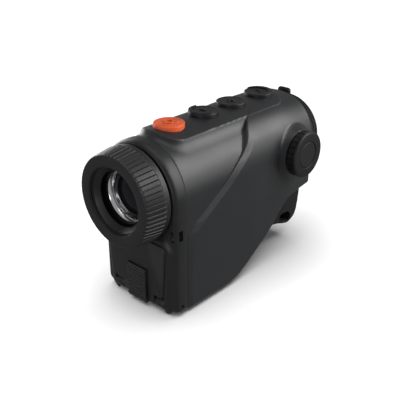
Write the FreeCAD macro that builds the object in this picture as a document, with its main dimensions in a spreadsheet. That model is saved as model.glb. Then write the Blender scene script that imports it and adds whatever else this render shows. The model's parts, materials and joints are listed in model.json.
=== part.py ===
import FreeCAD, Part
import math
import os
import Sketcher
from FreeCAD import Placement, Rotation, Vector

# Handheld thermal monocular, millimetres.
# +Z is up, the lens looks along -Y, the diopter knob is on the +X side.
# The origin is the mouth of the tripod socket in the flat bottom.

SIZES = {
    # main lines
    "optical_height": 62, "shell_radius": 26, "shell_wall": 2.2, "shell_bottom": 1.2,
    "seam_place": -21.5, "bezel_front": -29.6, "housing_rear": 82.2,
    "rear_wall": 2.2, "plateau_top": 90, "plateau_half": 13.1, "plateau_front": -18,
    "plateau_rear": 72, "plateau_drop": 14, "plateau_corner": 9, "plateau_crown": 31,
    "belly_flat_end": 14, "belly_knee": 45, "belly_knee_height": 19.2, "belly_arch": 57,
    "belly_arch_height": 32, "belly_round": 5, "belly_tail": 64, "belly_tail_height": 35,
    "belly_rear_height": 36.6, "boss_rise": 23, "bezel_post": 2.8, "bezel_post_end": -16.5,
    "ledge_low": 35.6, "ledge_top": 38.9, "ledge_inner": 14.5, "ledge_outer": 24.5,
    "ledge_half": 3, "port_low": 42.7, "port_high": 47.3, "port_front": 8, "port_rear": 17,
    "recess_front": 3.7, "recess_rear": 21.3, "recess_low": 39.5, "recess_high": 50.4,
    "recess_floor": -24.9,
    "fit": 0.05, "seat": 0.02,
    # focus ring and objective
    "ring_front": -45, "ring_rear": -30.6, "ring_front_radius": 22.6, "ring_rear_radius": 24.3,
    "ring_mouth": 17.8, "ring_mouth_depth": 1.6, "ring_step": 16.4, "ring_step_depth": 3.6,
    "ring_lip": 14.4, "ring_lip_depth": 4.8, "rib_height": 0.9, "rib_width": 1.9,
    "rib_length": 10.4, "rib_inset": 0.5, "cam_front": -38.8, "cam_rear": -33.2, "cam_radius": 19.4,
    "barrel_radius": 17, "barrel_bore": 15, "barrel_front": -40, "barrel_rear": -16.6,
    "flange_radius": 21.4, "flange_front": -27.1, "flange_thickness": 2.4,
    "cell_front": -38.2, "cell_rear": -19, "front_seat": 13, "front_seat_end": -32.8,
    "cell_bore": 11, "rear_stop": 8.5, "rear_stop_front": -25, "rear_seat_front": -24,
    "rear_seat": 10, "front_lens_depth": 3.6, "front_lens_curve": 40, "rear_lens_depth": 3.4,
    "rear_lens_curve": 30, "retainer_depth": 3.4, "retainer_bore": 12.3, "pin_place": -36,
    "pin_radius": 1, "pin_foot": 13.2, "pin_reach": 19, "oring_place": -31.8, "oring_cord": 0.55,
    "oring_radius": 16.4, "oring_groove": 1.2, "oring_half": 0.75,
    # battery door, hinge and latch
    "door_front": -31.5, "door_back": -27.4, "door_top": 39, "door_top_half": 20.2,
    "door_bottom": 8.6, "door_bottom_half": 17.8, "door_corner": 5, "rim_front": -31,
    "rim_top": 41, "rim_top_half": 22, "rim_bottom_half": 19.5, "door_gap": 0.25,
    "ring_clearance": 24.8, "door_notch": 25, "door_swept": 0.35,
    "slide_front": -28.9, "slide_back": -28.1, "slide_gap": 0.15,
    "hinge_place": -28, "hinge_height": 4.6, "hinge_pin": 1.1, "knuckle": 3.4, "knuckle_half": 11.3,
    "lug_half": 18.4, "tab_half": 6.75, "tab_front": -33, "tab_top": 21.6, "tab_bottom": 1.9,
    "tab_ribs": 8, "tab_back": -30.8, "tab_plate": 0.6, "tab_swing": 6.4, "tongue_half": 4,
    "strap_inner": 22.4, "strap_outer": 24.6, "strap_front": -27.3, "strap_rear": -24.7,
    "strap_low": 43, "strap_high": 48.6,
    # battery
    "battery_height": 28.8, "battery_radius": 9.15, "battery_front": -26.4, "battery_length": 65,
    "tube_bore": 9.35, "tube_radius": 10.05, "tube_front": -21.2, "tube_rear": 40.2,
    # buttons and keypad
    "button_radius": 7.85, "button_top": 92.3, "button_flange": 8.8, "button_flange_top": 87.4,
    "button_bottom": 86.4, "button_pocket": 87.7, "button_bevel": 0.5, "button_dish": 0.6,
    "button_dish_radius": 6.6, "membrane_half": 9.8, "membrane_low": 84.3, "membrane_top": 85.5,
    "membrane_front": -16.2, "membrane_rear": 71.6, "keypad_low": 79.6, "keypad_top": 80.8,
    "keypad_half": 10, "switch_half": 3, "switch_body": 2.2, "switch_stem": 1.6, "switch_top": 84.1,
    # diopter knob
    "knob_place": 65.2, "boss_foot": 17.5, "boss_head": 12.4, "boss_face": 28.4, "knob_back": 28.9,
    "knob_face": 34.3, "knob_radius": 12.3, "knob_rib": 0.7, "knob_rib_width": 1.7, "knob_recess": 7.3,
    "knob_floor": 32.9, "cap_top": 34.7, "cap_low": 34.05, "shaft_radius": 2.5, "shaft_end": 32.8,
    "crank_near": 15.2, "crank_far": 17, "crank_radius": 5.5, "crank_throw": 4, "crank_pin": 1.2,
    "crank_pin_end": 12.4, "bush_radius": 4.4, "bush_flange": 6.4, "bush_inner": 21.6,
    # eyepiece
    "eye_tube_radius": 16, "eye_tube_bore": 14.5, "eye_tube_front": 52, "eye_tube_rear": 86.4,
    "eye_flange": 17.2, "eye_flange_depth": 2, "eye_cell_front": 56.6, "eye_cell_rear": 80,
    "eye_bore": 11, "eye_front_seat": 12, "eye_front_seat_end": 62, "eye_rear_seat": 12.5,
    "eye_rear_seat_start": 73, "rear_ring_radius": 24.6, "rear_ring_end": 86.5,
    "rear_ring_end_radius": 23.8, "cup_front": 86.5, "cup_flange": 22.6, "cup_flange_end": 91.7,
    "cup_end": 95, "cup_end_radius": 20.6, "cup_bore": 13.4, "cup_tab_half": 5, "cup_tab_top": 88.4,
    # tail and belly cover
    "tail_half": 16, "tail_dip": 56, "tail_dip_height": 13.6, "tail_low": 76, "tail_low_height": 9.4,
    "tail_heel": 84.5, "tail_heel_height": 13.4, "tail_back": 86.1, "tail_back_height": 22,
    "tail_top": 87, "keel_front": -19, "keel_mid": 32, "keel_mid_height": 5.2,
    "eyelet_front": 67.8, "eyelet_rear": 78.8, "eyelet_low": 10.9, "eyelet_high": 17.9,
    "insert_radius": 5, "insert_bore": 3.175, "insert_length": 8, "insert_boss": 7.4,
    "flap_outer": -26.2, "flap_depth": 1.2, "flap_hinge": 40.3,
    # calibration shutter
    "shutter_front": -16.3, "shutter_back": -14.3, "shutter_hole": 6, "vane_pivot": 9,
    "vane_pivot_height": 49, "vane_parked": 58,
    # screws
    "screw_head": 1.9, "screw_head_depth": 1.2, "screw_shank": 1, "screw_length": 5,
    "screw_key": 0.7,
    # electronics
    "chassis_low": 39, "chassis_top": 40.4, "chassis_half": 20.5, "board_low": 41.4,
    "board_top": 43.1, "board_half": 20, "post_radius": 2.6, "shield_top": 46.4,
    "shield_half": 11, "pad_top": 47, "spreader_top": 48.8, "core_half": 13, "core_front": -8,
    "core_rear": 12, "core_top": 75, "snout_radius": 9, "snout_front": -13, "window_radius": 6.5,
    "spreader_rear": 30, "spreader_high": 74, "display_front": 43.5, "display_rear": 47.4,
    "display_half": 11, "display_low": 52, "display_high": 72, "flap_front": 4, "flap_rear": 21,
    "flap_top": 50.1,
}


class Size:
    """A length that keeps both its value and the sheet expression it comes from."""

    def __init__(self, value, text):
        self.value = float(value)
        self.text = text

    def __add__(self, other):
        return join(self, other, "+")

    def __radd__(self, other):
        return join(other, self, "+")

    def __sub__(self, other):
        return join(self, other, "-")

    def __rsub__(self, other):
        return join(other, self, "-")

    def __mul__(self, other):
        return join(self, other, "*")

    def __rmul__(self, other):
        return join(other, self, "*")

    def __truediv__(self, other):
        return join(self, other, "/")

    def __neg__(self):
        return Size(-self.value, "(0 - %s)" % self.text)

    def __float__(self):
        return self.value


def as_size(thing):
    """Any number as a Size."""
    if isinstance(thing, Size):
        return thing
    return Size(thing, repr(float(thing)))


def join(left, right, sign):
    """Combine two numbers and the expressions behind them."""
    a, b = as_size(left), as_size(right)
    results = {"+": a.value + b.value, "-": a.value - b.value, "*": a.value * b.value}
    value = results[sign] if sign in results else a.value / b.value
    return Size(value, "(%s %s %s)" % (a.text, sign, b.text))


doc = FreeCAD.newDocument("ThermalMonocular")
sheet = doc.addObject("Spreadsheet::Sheet", "Sizes")


class Sizes:
    """The sheet's cells as named sizes."""


d = Sizes()
for row, (alias, number) in enumerate(SIZES.items(), start=1):
    sheet.set("A%d" % row, alias)
    sheet.set("B%d" % row, str(number))
    sheet.setAlias("B%d" % row, alias)
    setattr(d, alias, Size(number, "Sizes.%s" % alias))
doc.recompute()

X_AXIS, Y_AXIS, Z_AXIS = Vector(1, 0, 0), Vector(0, 1, 0), Vector(0, 0, 1)
nodes = []


# ---------------------------------------------------------------- helpers

def bind(thing, prop, size):
    """Set a property from a size, with the sheet expression behind it."""
    thing.setExpression(prop, as_size(size).text)


def place(thing, x=0, y=0, z=0, rotation=None):
    """Put an object at x, y, z."""
    base = Vector(float(as_size(x)), float(as_size(y)), float(as_size(z)))
    thing.Placement = Placement(base, rotation or Rotation())
    for axis, size in zip("xyz", (x, y, z)):
        if isinstance(size, Size):
            bind(thing, "Placement.Base.%s" % axis, size)


def box(name, x0, x1, y0, y1, z0, z1):
    """A block between two corners."""
    thing = doc.addObject("Part::Box", name)
    place(thing, x0, y0, z0)
    bind(thing, "Length", as_size(x1) - x0)
    bind(thing, "Width", as_size(y1) - y0)
    bind(thing, "Height", as_size(z1) - z0)
    return thing


def rod(name, axis, radius, start, end, x=0, y=0, z=0):
    """A round bar along axis, from start to end on that axis."""
    thing = doc.addObject("Part::Cylinder", name)
    spots = {"x": (start, y, z), "y": (x, start, z), "z": (x, y, start)}
    turns = {"x": X_AXIS, "y": Y_AXIS, "z": Z_AXIS}
    place(thing, *spots[axis], rotation=Rotation(Z_AXIS, turns[axis]))
    bind(thing, "Radius", radius)
    bind(thing, "Height", as_size(end) - start)
    return thing


def ball(name, radius, x, y, z):
    """A sphere."""
    thing = doc.addObject("Part::Sphere", name)
    place(thing, x, y, z)
    bind(thing, "Radius", radius)
    return thing


def cut(name, base, *tools):
    """Base without the tools."""
    thing = doc.addObject("Part::Cut", name)
    thing.Base = base
    thing.Tool = tools[0] if len(tools) == 1 else fuse(name + "_tools", *tools)
    return thing


def fuse(name, *things):
    """The union of the things."""
    thing = doc.addObject("Part::MultiFuse", name)
    thing.Shapes = list(things)
    return thing


def common(name, *things):
    """What all the things share."""
    thing = doc.addObject("Part::MultiCommon", name)
    thing.Shapes = list(things)
    return thing


def group(name, things):
    """Identical loose pieces kept as one node of separate solids."""
    thing = doc.addObject("Part::Compound", name)
    thing.Links = list(things)
    return thing


def node(thing, label):
    """Register a finished sub-part under its own name."""
    thing.Label = label
    nodes.append(thing)
    return thing


def origin_plane(body, role):
    """One of a body's own origin planes or axes."""
    return [item for item in body.Origin.OriginFeatures if item.Role == role][0]


def outline(body, name, points, role="XY_Plane"):
    """A closed sketch through points, each held to the sheet."""
    sketch = body.newObject("Sketcher::SketchObject", name)
    sketch.AttachmentSupport = [(origin_plane(body, role), "")]
    sketch.MapMode = "FlatFace"
    spots = [Vector(float(as_size(u)), float(as_size(v)), 0) for u, v in points]
    count = len(spots)
    for i in range(count):
        sketch.addGeometry(Part.LineSegment(spots[i], spots[(i + 1) % count]), False)
    for i in range(count):
        sketch.addConstraint(Sketcher.Constraint("Coincident", i, 2, (i + 1) % count, 1))
    for i, (u, v) in enumerate(points):
        hold(sketch, i, "DistanceX", u, -2)
        hold(sketch, i, "DistanceY", v, -1)
    return sketch


def hold(sketch, point, kind, size, axis):
    """Hold one corner of a sketch at a size from the sketch's axis."""
    size = as_size(size)
    if abs(size.value) < 1e-9:
        sketch.addConstraint(Sketcher.Constraint("PointOnObject", point, 1, axis))
        return
    held = Sketcher.Constraint(kind, -1, 1, point, 1, size.value)
    index = sketch.addConstraint(held)
    sketch.setExpression("Constraints[%d]" % index, size.text)


AXIS_TURN = {
    "x": Rotation(Z_AXIS, -90),
    "y": Rotation(),
    "z": Rotation(X_AXIS, 90),
}


def turned(name, axis, profile, x=0, y=0, z=0):
    """A body turned about axis from (radius, along) points."""
    body = doc.addObject("PartDesign::Body", name)
    sketch = outline(body, name + "_profile", profile)
    feature = body.newObject("PartDesign::Revolution", name + "_turn")
    feature.Profile = sketch
    feature.ReferenceAxis = (sketch, ["V_Axis"])
    feature.Angle = 360
    place(body, x, y, z, AXIS_TURN[axis])
    return body


def optical(name, profile):
    """A body turned about the optical axis; along is Y."""
    return turned(name, "y", profile, z=d.optical_height)


def tube(inner, outer, start, end):
    """The profile of a plain ring."""
    return [(inner, start), (outer, start), (outer, end), (inner, end)]


def side_profile(name, points, half):
    """A slab of half-width half whose outline is given as (y, z)."""
    body = doc.addObject("PartDesign::Body", name)
    sketch = outline(body, name + "_side", points, "YZ_Plane")
    pad = body.newObject("PartDesign::Pad", name + "_pad")
    pad.Profile = sketch
    pad.Midplane = True
    bind(pad, "Length", as_size(half) * 2)
    return body


def front_profile(name, points, start, end):
    """A slab from y = start to y = end whose outline is given as (x, z)."""
    body = doc.addObject("PartDesign::Body", name)
    sketch = outline(body, name + "_front", points, "XZ_Plane")
    pad = body.newObject("PartDesign::Pad", name + "_pad")
    pad.Profile = sketch
    pad.Reversed = True
    bind(pad, "Length", as_size(end) - start)
    place(body, 0, start, 0)
    return body


def rounded(name, base, radius, pick):
    """Round the edges that pick accepts."""
    doc.recompute()
    thing = doc.addObject("Part::Fillet", name)
    thing.Base = base
    edges = enumerate(base.Shape.Edges, start=1)
    thing.Edges = [(i, float(radius), float(radius)) for i, edge in edges if pick(edge)]
    return thing


def arch(name, radius, bottom, start, end):
    """Round top about the optical axis, straight sides and a flat bottom."""
    top = rod(name + "_top", "y", radius, start, end, z=d.optical_height)
    legs = box(name + "_legs", -as_size(radius), radius, start, end, bottom, d.optical_height)
    return fuse(name, top, legs)


def ribs(body, name, count, radius, width, height, start, length):
    """Ribs around a turned body, made as one rib and a polar pattern."""
    rib = body.newObject("PartDesign::AdditiveBox", name + "_rib")
    bind(rib, "Length", as_size(height) + 1)
    bind(rib, "Width", length)
    bind(rib, "Height", width)
    rib.AttachmentOffset = Placement(
        Vector(float(radius) - 1, float(as_size(start)), -float(as_size(width)) / 2), Rotation())
    rib.AttachmentSupport = [(origin_plane(body, "XY_Plane"), "")]
    rib.MapMode = "FlatFace"
    doc.recompute()
    pattern = body.newObject("PartDesign::PolarPattern", name + "_pattern")
    pattern.Originals = [rib]
    pattern.Axis = (origin_plane(body, "Y_Axis"), [""])
    pattern.Angle = 360
    pattern.Occurrences = count
    body.Tip = pattern
    return body


def screw(name, x, y, z, axis, sign, length):
    """A socket-head screw whose head bears at the point given; sign is the way its head looks."""
    here = {"x": as_size(x), "y": as_size(y), "z": as_size(z)}
    seat = here[axis]
    rest = {key: value for key, value in here.items() if key != axis}
    low, high = sorted((seat, seat + d.screw_head_depth * sign), key=float)
    head = rod(name + "_head", axis, d.screw_head, low, high, **rest)
    low, high = sorted((seat, seat - as_size(length) * sign), key=float)
    shank = rod(name + "_shank", axis, d.screw_shank, low, high, **rest)
    top = seat + d.screw_head_depth * sign
    low, high = sorted((top, top - 0.7 * sign), key=float)
    key = rod(name + "_key", axis, d.screw_key, low, high, **rest)
    return cut(name, fuse(name + "_solid", head, shank), key)


def screws(label, spots, axis, sign, length):
    """A group of identical screws."""
    made = []
    for number, (x, y, z) in enumerate(spots, start=1):
        made.append(screw("%s_%d" % (label, number), x, y, z, axis, sign, length))
    return node(group(label + "_group", made), label)


def screw_holes(name, spots, axis, sign, length):
    """Holes for those screws' shanks."""
    holes = []
    for number, (x, y, z) in enumerate(spots, start=1):
        here = {"x": as_size(x), "y": as_size(y), "z": as_size(z)}
        seat = here[axis]
        rest = {key: value for key, value in here.items() if key != axis}
        low, high = sorted((seat + 0.5 * sign, seat - (as_size(length) + 0.2) * sign), key=float)
        hole = rod("%s_%d" % (name, number), axis, d.screw_shank + d.seat, low, high, **rest)
        holes.append(hole)
    return holes


# ---------------------------------------------------------------- screw places

BEZEL_SCREWS = [(16.5, -25.8, 13), (-16.5, -25.8, 13), (16.5, -25.8, 34.6), (-16.5, -25.8, 34.6)]
BARREL_SCREWS = [(13.6, -24.7, 48.4), (-13.6, -24.7, 48.4), (13.6, -24.7, 75.6), (-13.6, -24.7, 75.6)]
COVER_SCREWS = [(12, -10, 0.6), (-12, -10, 0.6), (12, 10, 0.6), (-12, 10, 0.6)]
RING_SCREWS = [(0, 84.4, 82), (17.32, 84.4, 52), (-17.32, 84.4, 52)]
BOARD_SCREWS = [(17, -8, 43.1), (-17, -8, 43.1), (17, 46, 43.1), (-17, 46, 43.1)]
BUTTON_PLACES = {"power": -7, "zoom": 17.6, "palette": 39.4, "capture": 63}


# ---------------------------------------------------------------- housing

def belly(drop=0):
    """The housing's lower line from rear to front as (y, z), moved up by drop."""
    return [
        (d.housing_rear, d.belly_rear_height + drop),
        (d.belly_tail, d.belly_tail_height + drop),
        (d.belly_arch, d.belly_arch_height + drop),
        (d.belly_knee, d.belly_knee_height + drop),
        (d.belly_flat_end, d.shell_bottom + drop),
    ]


def side_slab(name, drop, front, rear, half):
    """The housing's side view as a slab, for the outer or the inner shape."""
    low = belly(drop)
    low[0] = (rear, low[0][1])
    points = [(front, d.shell_bottom + drop), (front, 95), (rear, 95)] + low
    return side_profile(name, points, half)


def belly_edge(half):
    """A test for the long lower corners at half-width half."""
    def test(edge):
        room = edge.BoundBox
        flat = room.XLength < 1e-6 and abs(abs(room.XMin) - float(half)) < 1e-6
        return flat and room.YLength > 1e-3 and room.ZMax < d.belly_rear_height.value + 3
    return test


def upright(edge):
    """Whether an edge runs straight up."""
    room = edge.BoundBox
    return room.ZLength > 1 and room.XLength < 1e-6 and room.YLength < 1e-6


def plateau():
    """The crowned strip along the top that carries the buttons."""
    crown = rod("plateau_crown", "y", d.plateau_crown, d.plateau_front, d.plateau_rear,
                z=d.plateau_top - d.plateau_crown)
    strip = box("plateau_strip", -d.plateau_half, d.plateau_half, d.plateau_front, d.plateau_rear,
                d.plateau_top - d.plateau_drop, d.plateau_top)
    return common("plateau", crown, rounded("plateau_corners", strip, d.plateau_corner, upright))


def housing():
    """The main shell: arch, plateau, knob boss, screw ledges and its openings."""
    outer = common("shell_outer",
                   arch("shell_arch", d.shell_radius, d.shell_bottom, d.seam_place, d.housing_rear),
                   side_slab("shell_side", 0, d.seam_place, d.housing_rear, 30))
    outer = rounded("shell_rounded", outer, d.belly_round, belly_edge(d.shell_radius))
    inner_radius = d.shell_radius - d.shell_wall
    rear = d.housing_rear - d.rear_wall
    inner = common("hollow",
                   arch("hollow_arch", inner_radius, 0, d.seam_place - 1, rear),
                   side_slab("hollow_side", d.shell_wall, d.seam_place - 1, rear, 30))
    inner = rounded("hollow_rounded", inner, d.belly_round - 2, belly_edge(inner_radius))
    boss = turned("knob_boss", "x", [
        (0, d.boss_rise), (d.boss_foot, d.boss_rise), (d.boss_foot, 25.8), (d.boss_head + 1.6, 26.6),
        (d.boss_head, 27.5), (d.boss_head, d.boss_face), (0, d.boss_face)],
        y=d.knob_place, z=d.optical_height)
    boss_limit = box("boss_limit", 20, 40, 0, d.housing_rear, 30, 90)
    solid = fuse("shell_solid", outer, plateau(), common("boss_trimmed", boss, boss_limit))
    shell = cut("shell_hollow", solid, inner)
    ledges = []
    for side in (-1, 1):
        for number, y in enumerate((-8, 46)):
            near, far = sorted((d.ledge_inner * side, d.ledge_outer * side), key=float)
            name = "ledge_%d_%s" % (number, "right" if side > 0 else "left")
            ledges.append(box(name, near, far, y - d.ledge_half, y + d.ledge_half,
                              d.ledge_low, d.ledge_top))
    for number, (x, y, z) in enumerate(BEZEL_SCREWS):
        ledges.append(rod("bezel_post_%d" % number, "y", d.bezel_post, d.seam_place,
                          d.bezel_post_end, x=x, z=z))
        near, far = sorted((x, d.ledge_outer * math.copysign(1, x)), key=float)
        ledges.append(box("post_web_%d" % number, near, far, d.seam_place, d.bezel_post_end,
                          z - 1, z + 1))
    shell = fuse("shell_ledged", shell, *ledges)
    holes = [
        box("keypad_pocket", -10.2, 10.2, d.membrane_front - 0.3, d.membrane_rear + 0.3, 79,
            d.membrane_top + 0.1),
        rod("rear_hole", "y", d.eye_tube_radius + d.seat, 75, 90, z=d.optical_height),
        rod("bush_hole", "x", d.bush_radius + d.seat, 20, 30, y=d.knob_place, z=d.optical_height),
        rod("bush_face", "x", d.bush_flange + 0.2, 18, d.bush_inner + 2.1, y=d.knob_place,
            z=d.optical_height),
        rod("insert_hole", "z", d.insert_boss + d.seat, -1, 6),
        box("port_hole", -30, -20, d.port_front, d.port_rear, d.port_low, d.port_high),
        box("flap_recess", -30, d.recess_floor, d.recess_front, d.recess_rear, d.recess_low,
            d.recess_high),
    ]
    for name, y in BUTTON_PLACES.items():
        holes.append(rod("hole_" + name, "z", d.button_radius + 0.12, 80, 95, y=y))
        holes.append(rod("pocket_" + name, "z", d.button_flange + 0.15, 80, d.button_pocket, y=y))
    holes += screw_holes("cover_hole", COVER_SCREWS, "z", -1, 3)
    holes += screw_holes("ring_hole", RING_SCREWS, "y", 1, 4)
    holes += screw_holes("bezel_hole", BEZEL_SCREWS, "y", -1, 7)
    holes += screw_holes("board_hole", BOARD_SCREWS, "z", 1, d.screw_length)
    return node(cut("housing_shell", shell, *holes), "housing")


def rear_ring():
    """The round collar that closes the back of the housing."""
    ring = optical("rear_collar", [
        (d.eye_tube_radius + d.seat, d.housing_rear), (d.rear_ring_radius, d.housing_rear),
        (d.rear_ring_end_radius, d.rear_ring_end), (d.eye_tube_radius + d.seat, d.rear_ring_end)])
    heads = [rod("ring_sink_%d" % i, "y", d.screw_head + 0.1, 84.4, 90, x=x, z=z)
             for i, (x, y, z) in enumerate(RING_SCREWS)]
    holes = screw_holes("ring_way", RING_SCREWS, "y", 1, 4)
    node(cut("rear_ring_cut", ring, *(heads + holes)), "rear_ring")
    screws("rear_ring_screws", RING_SCREWS, "y", 1, 4)


def eyecup():
    """The soft rubber eyecup with its thumb tab."""
    cup = optical("cup_body", [
        (d.cup_bore + 3.2, d.cup_front), (d.cup_flange - 1.2, d.cup_front),
        (d.cup_flange, d.cup_front + 1.2), (d.cup_flange, d.cup_flange_end - 1),
        (d.cup_flange - 1, d.cup_flange_end), (d.cup_end_radius, d.cup_end),
        (d.cup_end_radius - 2.4, d.cup_end), (d.cup_bore, d.cup_front + 2.6),
        (d.cup_bore + 3.2, d.cup_front + 2)])
    tab = box("cup_tab", -d.cup_tab_half, d.cup_tab_half, d.cup_front, d.cup_flange_end - 1,
              d.optical_height + 20, d.cup_tab_top)
    return node(fuse("cup_whole", cup, tab), "eyecup")


# ---------------------------------------------------------------- front bezel and door

def door_outline(grow=0):
    """The battery door's outline as (x, z), right half then left."""
    top = d.door_top + grow
    half_top, half_low = d.door_top_half + grow, d.door_bottom_half + grow
    low = d.door_bottom - as_size(grow)
    bevel = d.door_corner * 0.6
    right = [(half_low, low), (half_top, top - bevel), (half_top - bevel, top)]
    left = [(-x, z) for x, z in reversed(right)]
    return right + left


def bezel():
    """The dark front frame around the objective, with door surround, lugs and strap slots."""
    outer = arch("bezel_arch", d.shell_radius, d.shell_bottom, d.bezel_front, d.seam_place)
    rim_low = d.hinge_height + d.knuckle
    bevel = d.door_corner * 0.7
    right = [(d.rim_bottom_half, rim_low), (d.rim_top_half, d.rim_top - bevel),
             (d.rim_top_half - bevel, d.rim_top)]
    rim = front_profile("rim", right + [(-x, z) for x, z in reversed(right)], d.rim_front,
                        d.bezel_front + 1)
    lugs = rod("lugs", "x", d.knuckle, -d.lug_half, d.lug_half, y=d.hinge_place, z=d.hinge_height)
    lug_block = box("lug_block", -d.lug_half, d.lug_half, d.hinge_place,
                    d.hinge_place + 4, d.hinge_height, d.door_bottom - 0.4)
    nose = side_profile("nose", [
        (-33, d.hinge_height), (-33, 90), (d.seam_place, 90), (d.seam_place, d.shell_bottom),
        (-26.4, d.shell_bottom), (-28.4, 1.6), (-31.2, 3.6)], 30)
    outer = rounded("bezel_rounded", outer, d.belly_round, belly_edge(d.shell_radius))
    swept_half = d.door_bottom_half + d.door_swept
    swept = box("door_swept", -swept_half, swept_half, -40, d.hinge_place, d.hinge_height - 1,
                d.door_bottom + 1)
    frame = cut("bezel_frame", fuse("bezel_solid", outer, rim), swept)
    solid = common("bezel_nosed", fuse("bezel_lugged", frame, lugs, lug_block), nose)
    hollow = common("bezel_room",
                    arch("room_arch", d.shell_radius - d.shell_wall, 40, -27.1, d.seam_place + 1),
                    box("room_limit", -30, 30, -27.1, d.seam_place + 1, 40, 90))
    door_room = cut("door_recess",
                    front_profile("door_room", door_outline(0.25), -40, d.door_back + 0.15),
                    rod("door_lintel", "y", d.door_notch - 0.25, d.bezel_front, -20,
                        z=d.optical_height))
    pin_axis = {"y": d.hinge_place, "z": d.hinge_height}
    inner_half = d.knuckle_half + d.door_gap
    holes = [
        hollow, door_room,
        rod("barrel_hole", "y", d.barrel_radius + 0.2, -40, -20, z=d.optical_height),
        rod("battery_hole", "y", d.tube_radius + 0.15, -40, -20, z=d.battery_height),
        rod("knuckle_room", "x", d.knuckle + 0.45, -inner_half, inner_half, **pin_axis),
        box("knuckle_front", -inner_half, inner_half, -40, d.hinge_place, 0, d.door_bottom + 2),
        rod("tab_room", "x", d.tab_swing, -(d.tab_half + 0.4), d.tab_half + 0.4, **pin_axis),
        rod("pin_hole", "x", d.hinge_pin + 0.02, -d.lug_half - 1, d.lug_half + 1, **pin_axis),
        box("catch_slot", -d.tongue_half - 0.4, d.tongue_half + 0.4, d.slide_front - d.slide_gap,
            d.slide_back + d.slide_gap, d.door_top - 2.4, d.optical_height - d.door_notch + 1.5),
        rod("ring_room", "y", d.ring_clearance, -40, d.ring_rear + 0.4, z=d.optical_height),
    ]
    for number, (x, y, z) in enumerate(BEZEL_SCREWS):
        holes.append(rod("bezel_sink_%d" % number, "y", d.screw_head + 0.1, -30, y, x=x, z=z))
    holes += screw_holes("bezel_way", BEZEL_SCREWS, "y", -1, 7)
    holes += screw_holes("barrel_way", BARREL_SCREWS, "y", 1, 4)
    for side, name in ((-1, "left"), (1, "right")):
        low, high = sorted((d.strap_inner * side, 30 * side), key=float)
        holes.append(box("strap_side_" + name, low, high, d.strap_front, d.strap_rear,
                         d.strap_low, d.strap_high))
        low, high = sorted((d.strap_inner * side, d.strap_outer * side), key=float)
        holes.append(box("strap_front_" + name, low, high, -31, d.strap_rear, d.strap_low,
                         d.strap_high))
    return node(cut("bezel_cut", solid, *holes), "front_bezel")


def battery_door():
    """Door panel with its knuckle, the latch channel and the contact seat."""
    panel = front_profile("door_panel", door_outline(), d.door_front, d.door_back)
    neck = box("door_neck", -d.knuckle_half, d.knuckle_half, d.door_front, d.hinge_place,
               d.hinge_height, d.door_bottom + 1)
    axis = {"y": d.hinge_place, "z": d.hinge_height}
    barrel = rod("door_knuckle", "x", d.knuckle, -d.knuckle_half, d.knuckle_half, **axis)
    plug = rod("door_plug", "y", 9.2, d.door_back - 1, d.door_back + 0.9, z=d.battery_height)
    holes = [
        rod("door_pin_hole", "x", d.hinge_pin + 0.05, -30, 30, **axis),
        box("tab_channel", -d.tab_half - 0.15, d.tab_half + 0.15, -40, -30.6, 0, d.tab_top + 0.3),
        box("slide_channel", -d.tongue_half - 0.15, d.tongue_half + 0.15,
            d.slide_front - d.slide_gap, d.slide_back + d.slide_gap, 9.5, 45),
        box("slide_window", -d.tongue_half - 0.15, d.tongue_half + 0.15, -31, d.slide_front,
            9.5, d.tab_top),
        rod("contact_seat", "y", 6.1, d.door_back + 0.1, d.door_back + 2, z=d.battery_height),
        rod("door_notch", "y", d.door_notch, -40, -20, z=d.optical_height),
    ]
    node(cut("door_cut", fuse("door_solid", panel, neck, barrel, plug), *holes), "battery_door")
    seal = turned("door_seal_ring", "y", tube(9.25, 9.85, d.door_back + 0.05, d.door_back + 0.7),
                  z=d.battery_height)
    node(seal, "door_seal")
    node(rod("door_contact_disc", "y", 6, d.door_back + 0.1, d.door_back + 0.9,
             z=d.battery_height), "door_contact")
    pin = rod("hinge_rod", "x", d.hinge_pin, -d.lug_half + 0.4, d.lug_half - 0.4, **axis)
    node(pin, "door_hinge_pin")


def door_latch():
    """The ribbed slide that locks the door; its tongue enters the bezel above the door."""
    tab = box("tab_plate", -d.tab_half, d.tab_half, d.tab_front + d.tab_plate, d.tab_back,
              d.tab_bottom, d.tab_top)
    tab = cut("tab_cleared", tab,
              rod("tab_clear", "x", d.knuckle + 0.15, -20, 20, y=d.hinge_place, z=d.hinge_height))
    pitch = (d.tab_top - d.tab_bottom) / d.tab_ribs
    bars = []
    for number in range(int(d.tab_ribs.value)):
        low = d.tab_bottom + pitch * (number + 0.25)
        bars.append(box("tab_bar_%d" % number, -d.tab_half + 0.4, d.tab_half - 0.4, d.tab_front,
                        d.tab_front + 0.7, low, low + pitch * 0.5))
    slide = box("latch_slide", -d.tongue_half, d.tongue_half, d.slide_front, d.slide_back, 12,
                d.optical_height - d.door_notch + 1.1)
    link = box("latch_link", -d.tongue_half, d.tongue_half, -31, d.slide_back, 12, 20)
    return node(fuse("latch_solid", tab, slide, link, *bars), "door_latch")


# ---------------------------------------------------------------- focus ring and objective

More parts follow.
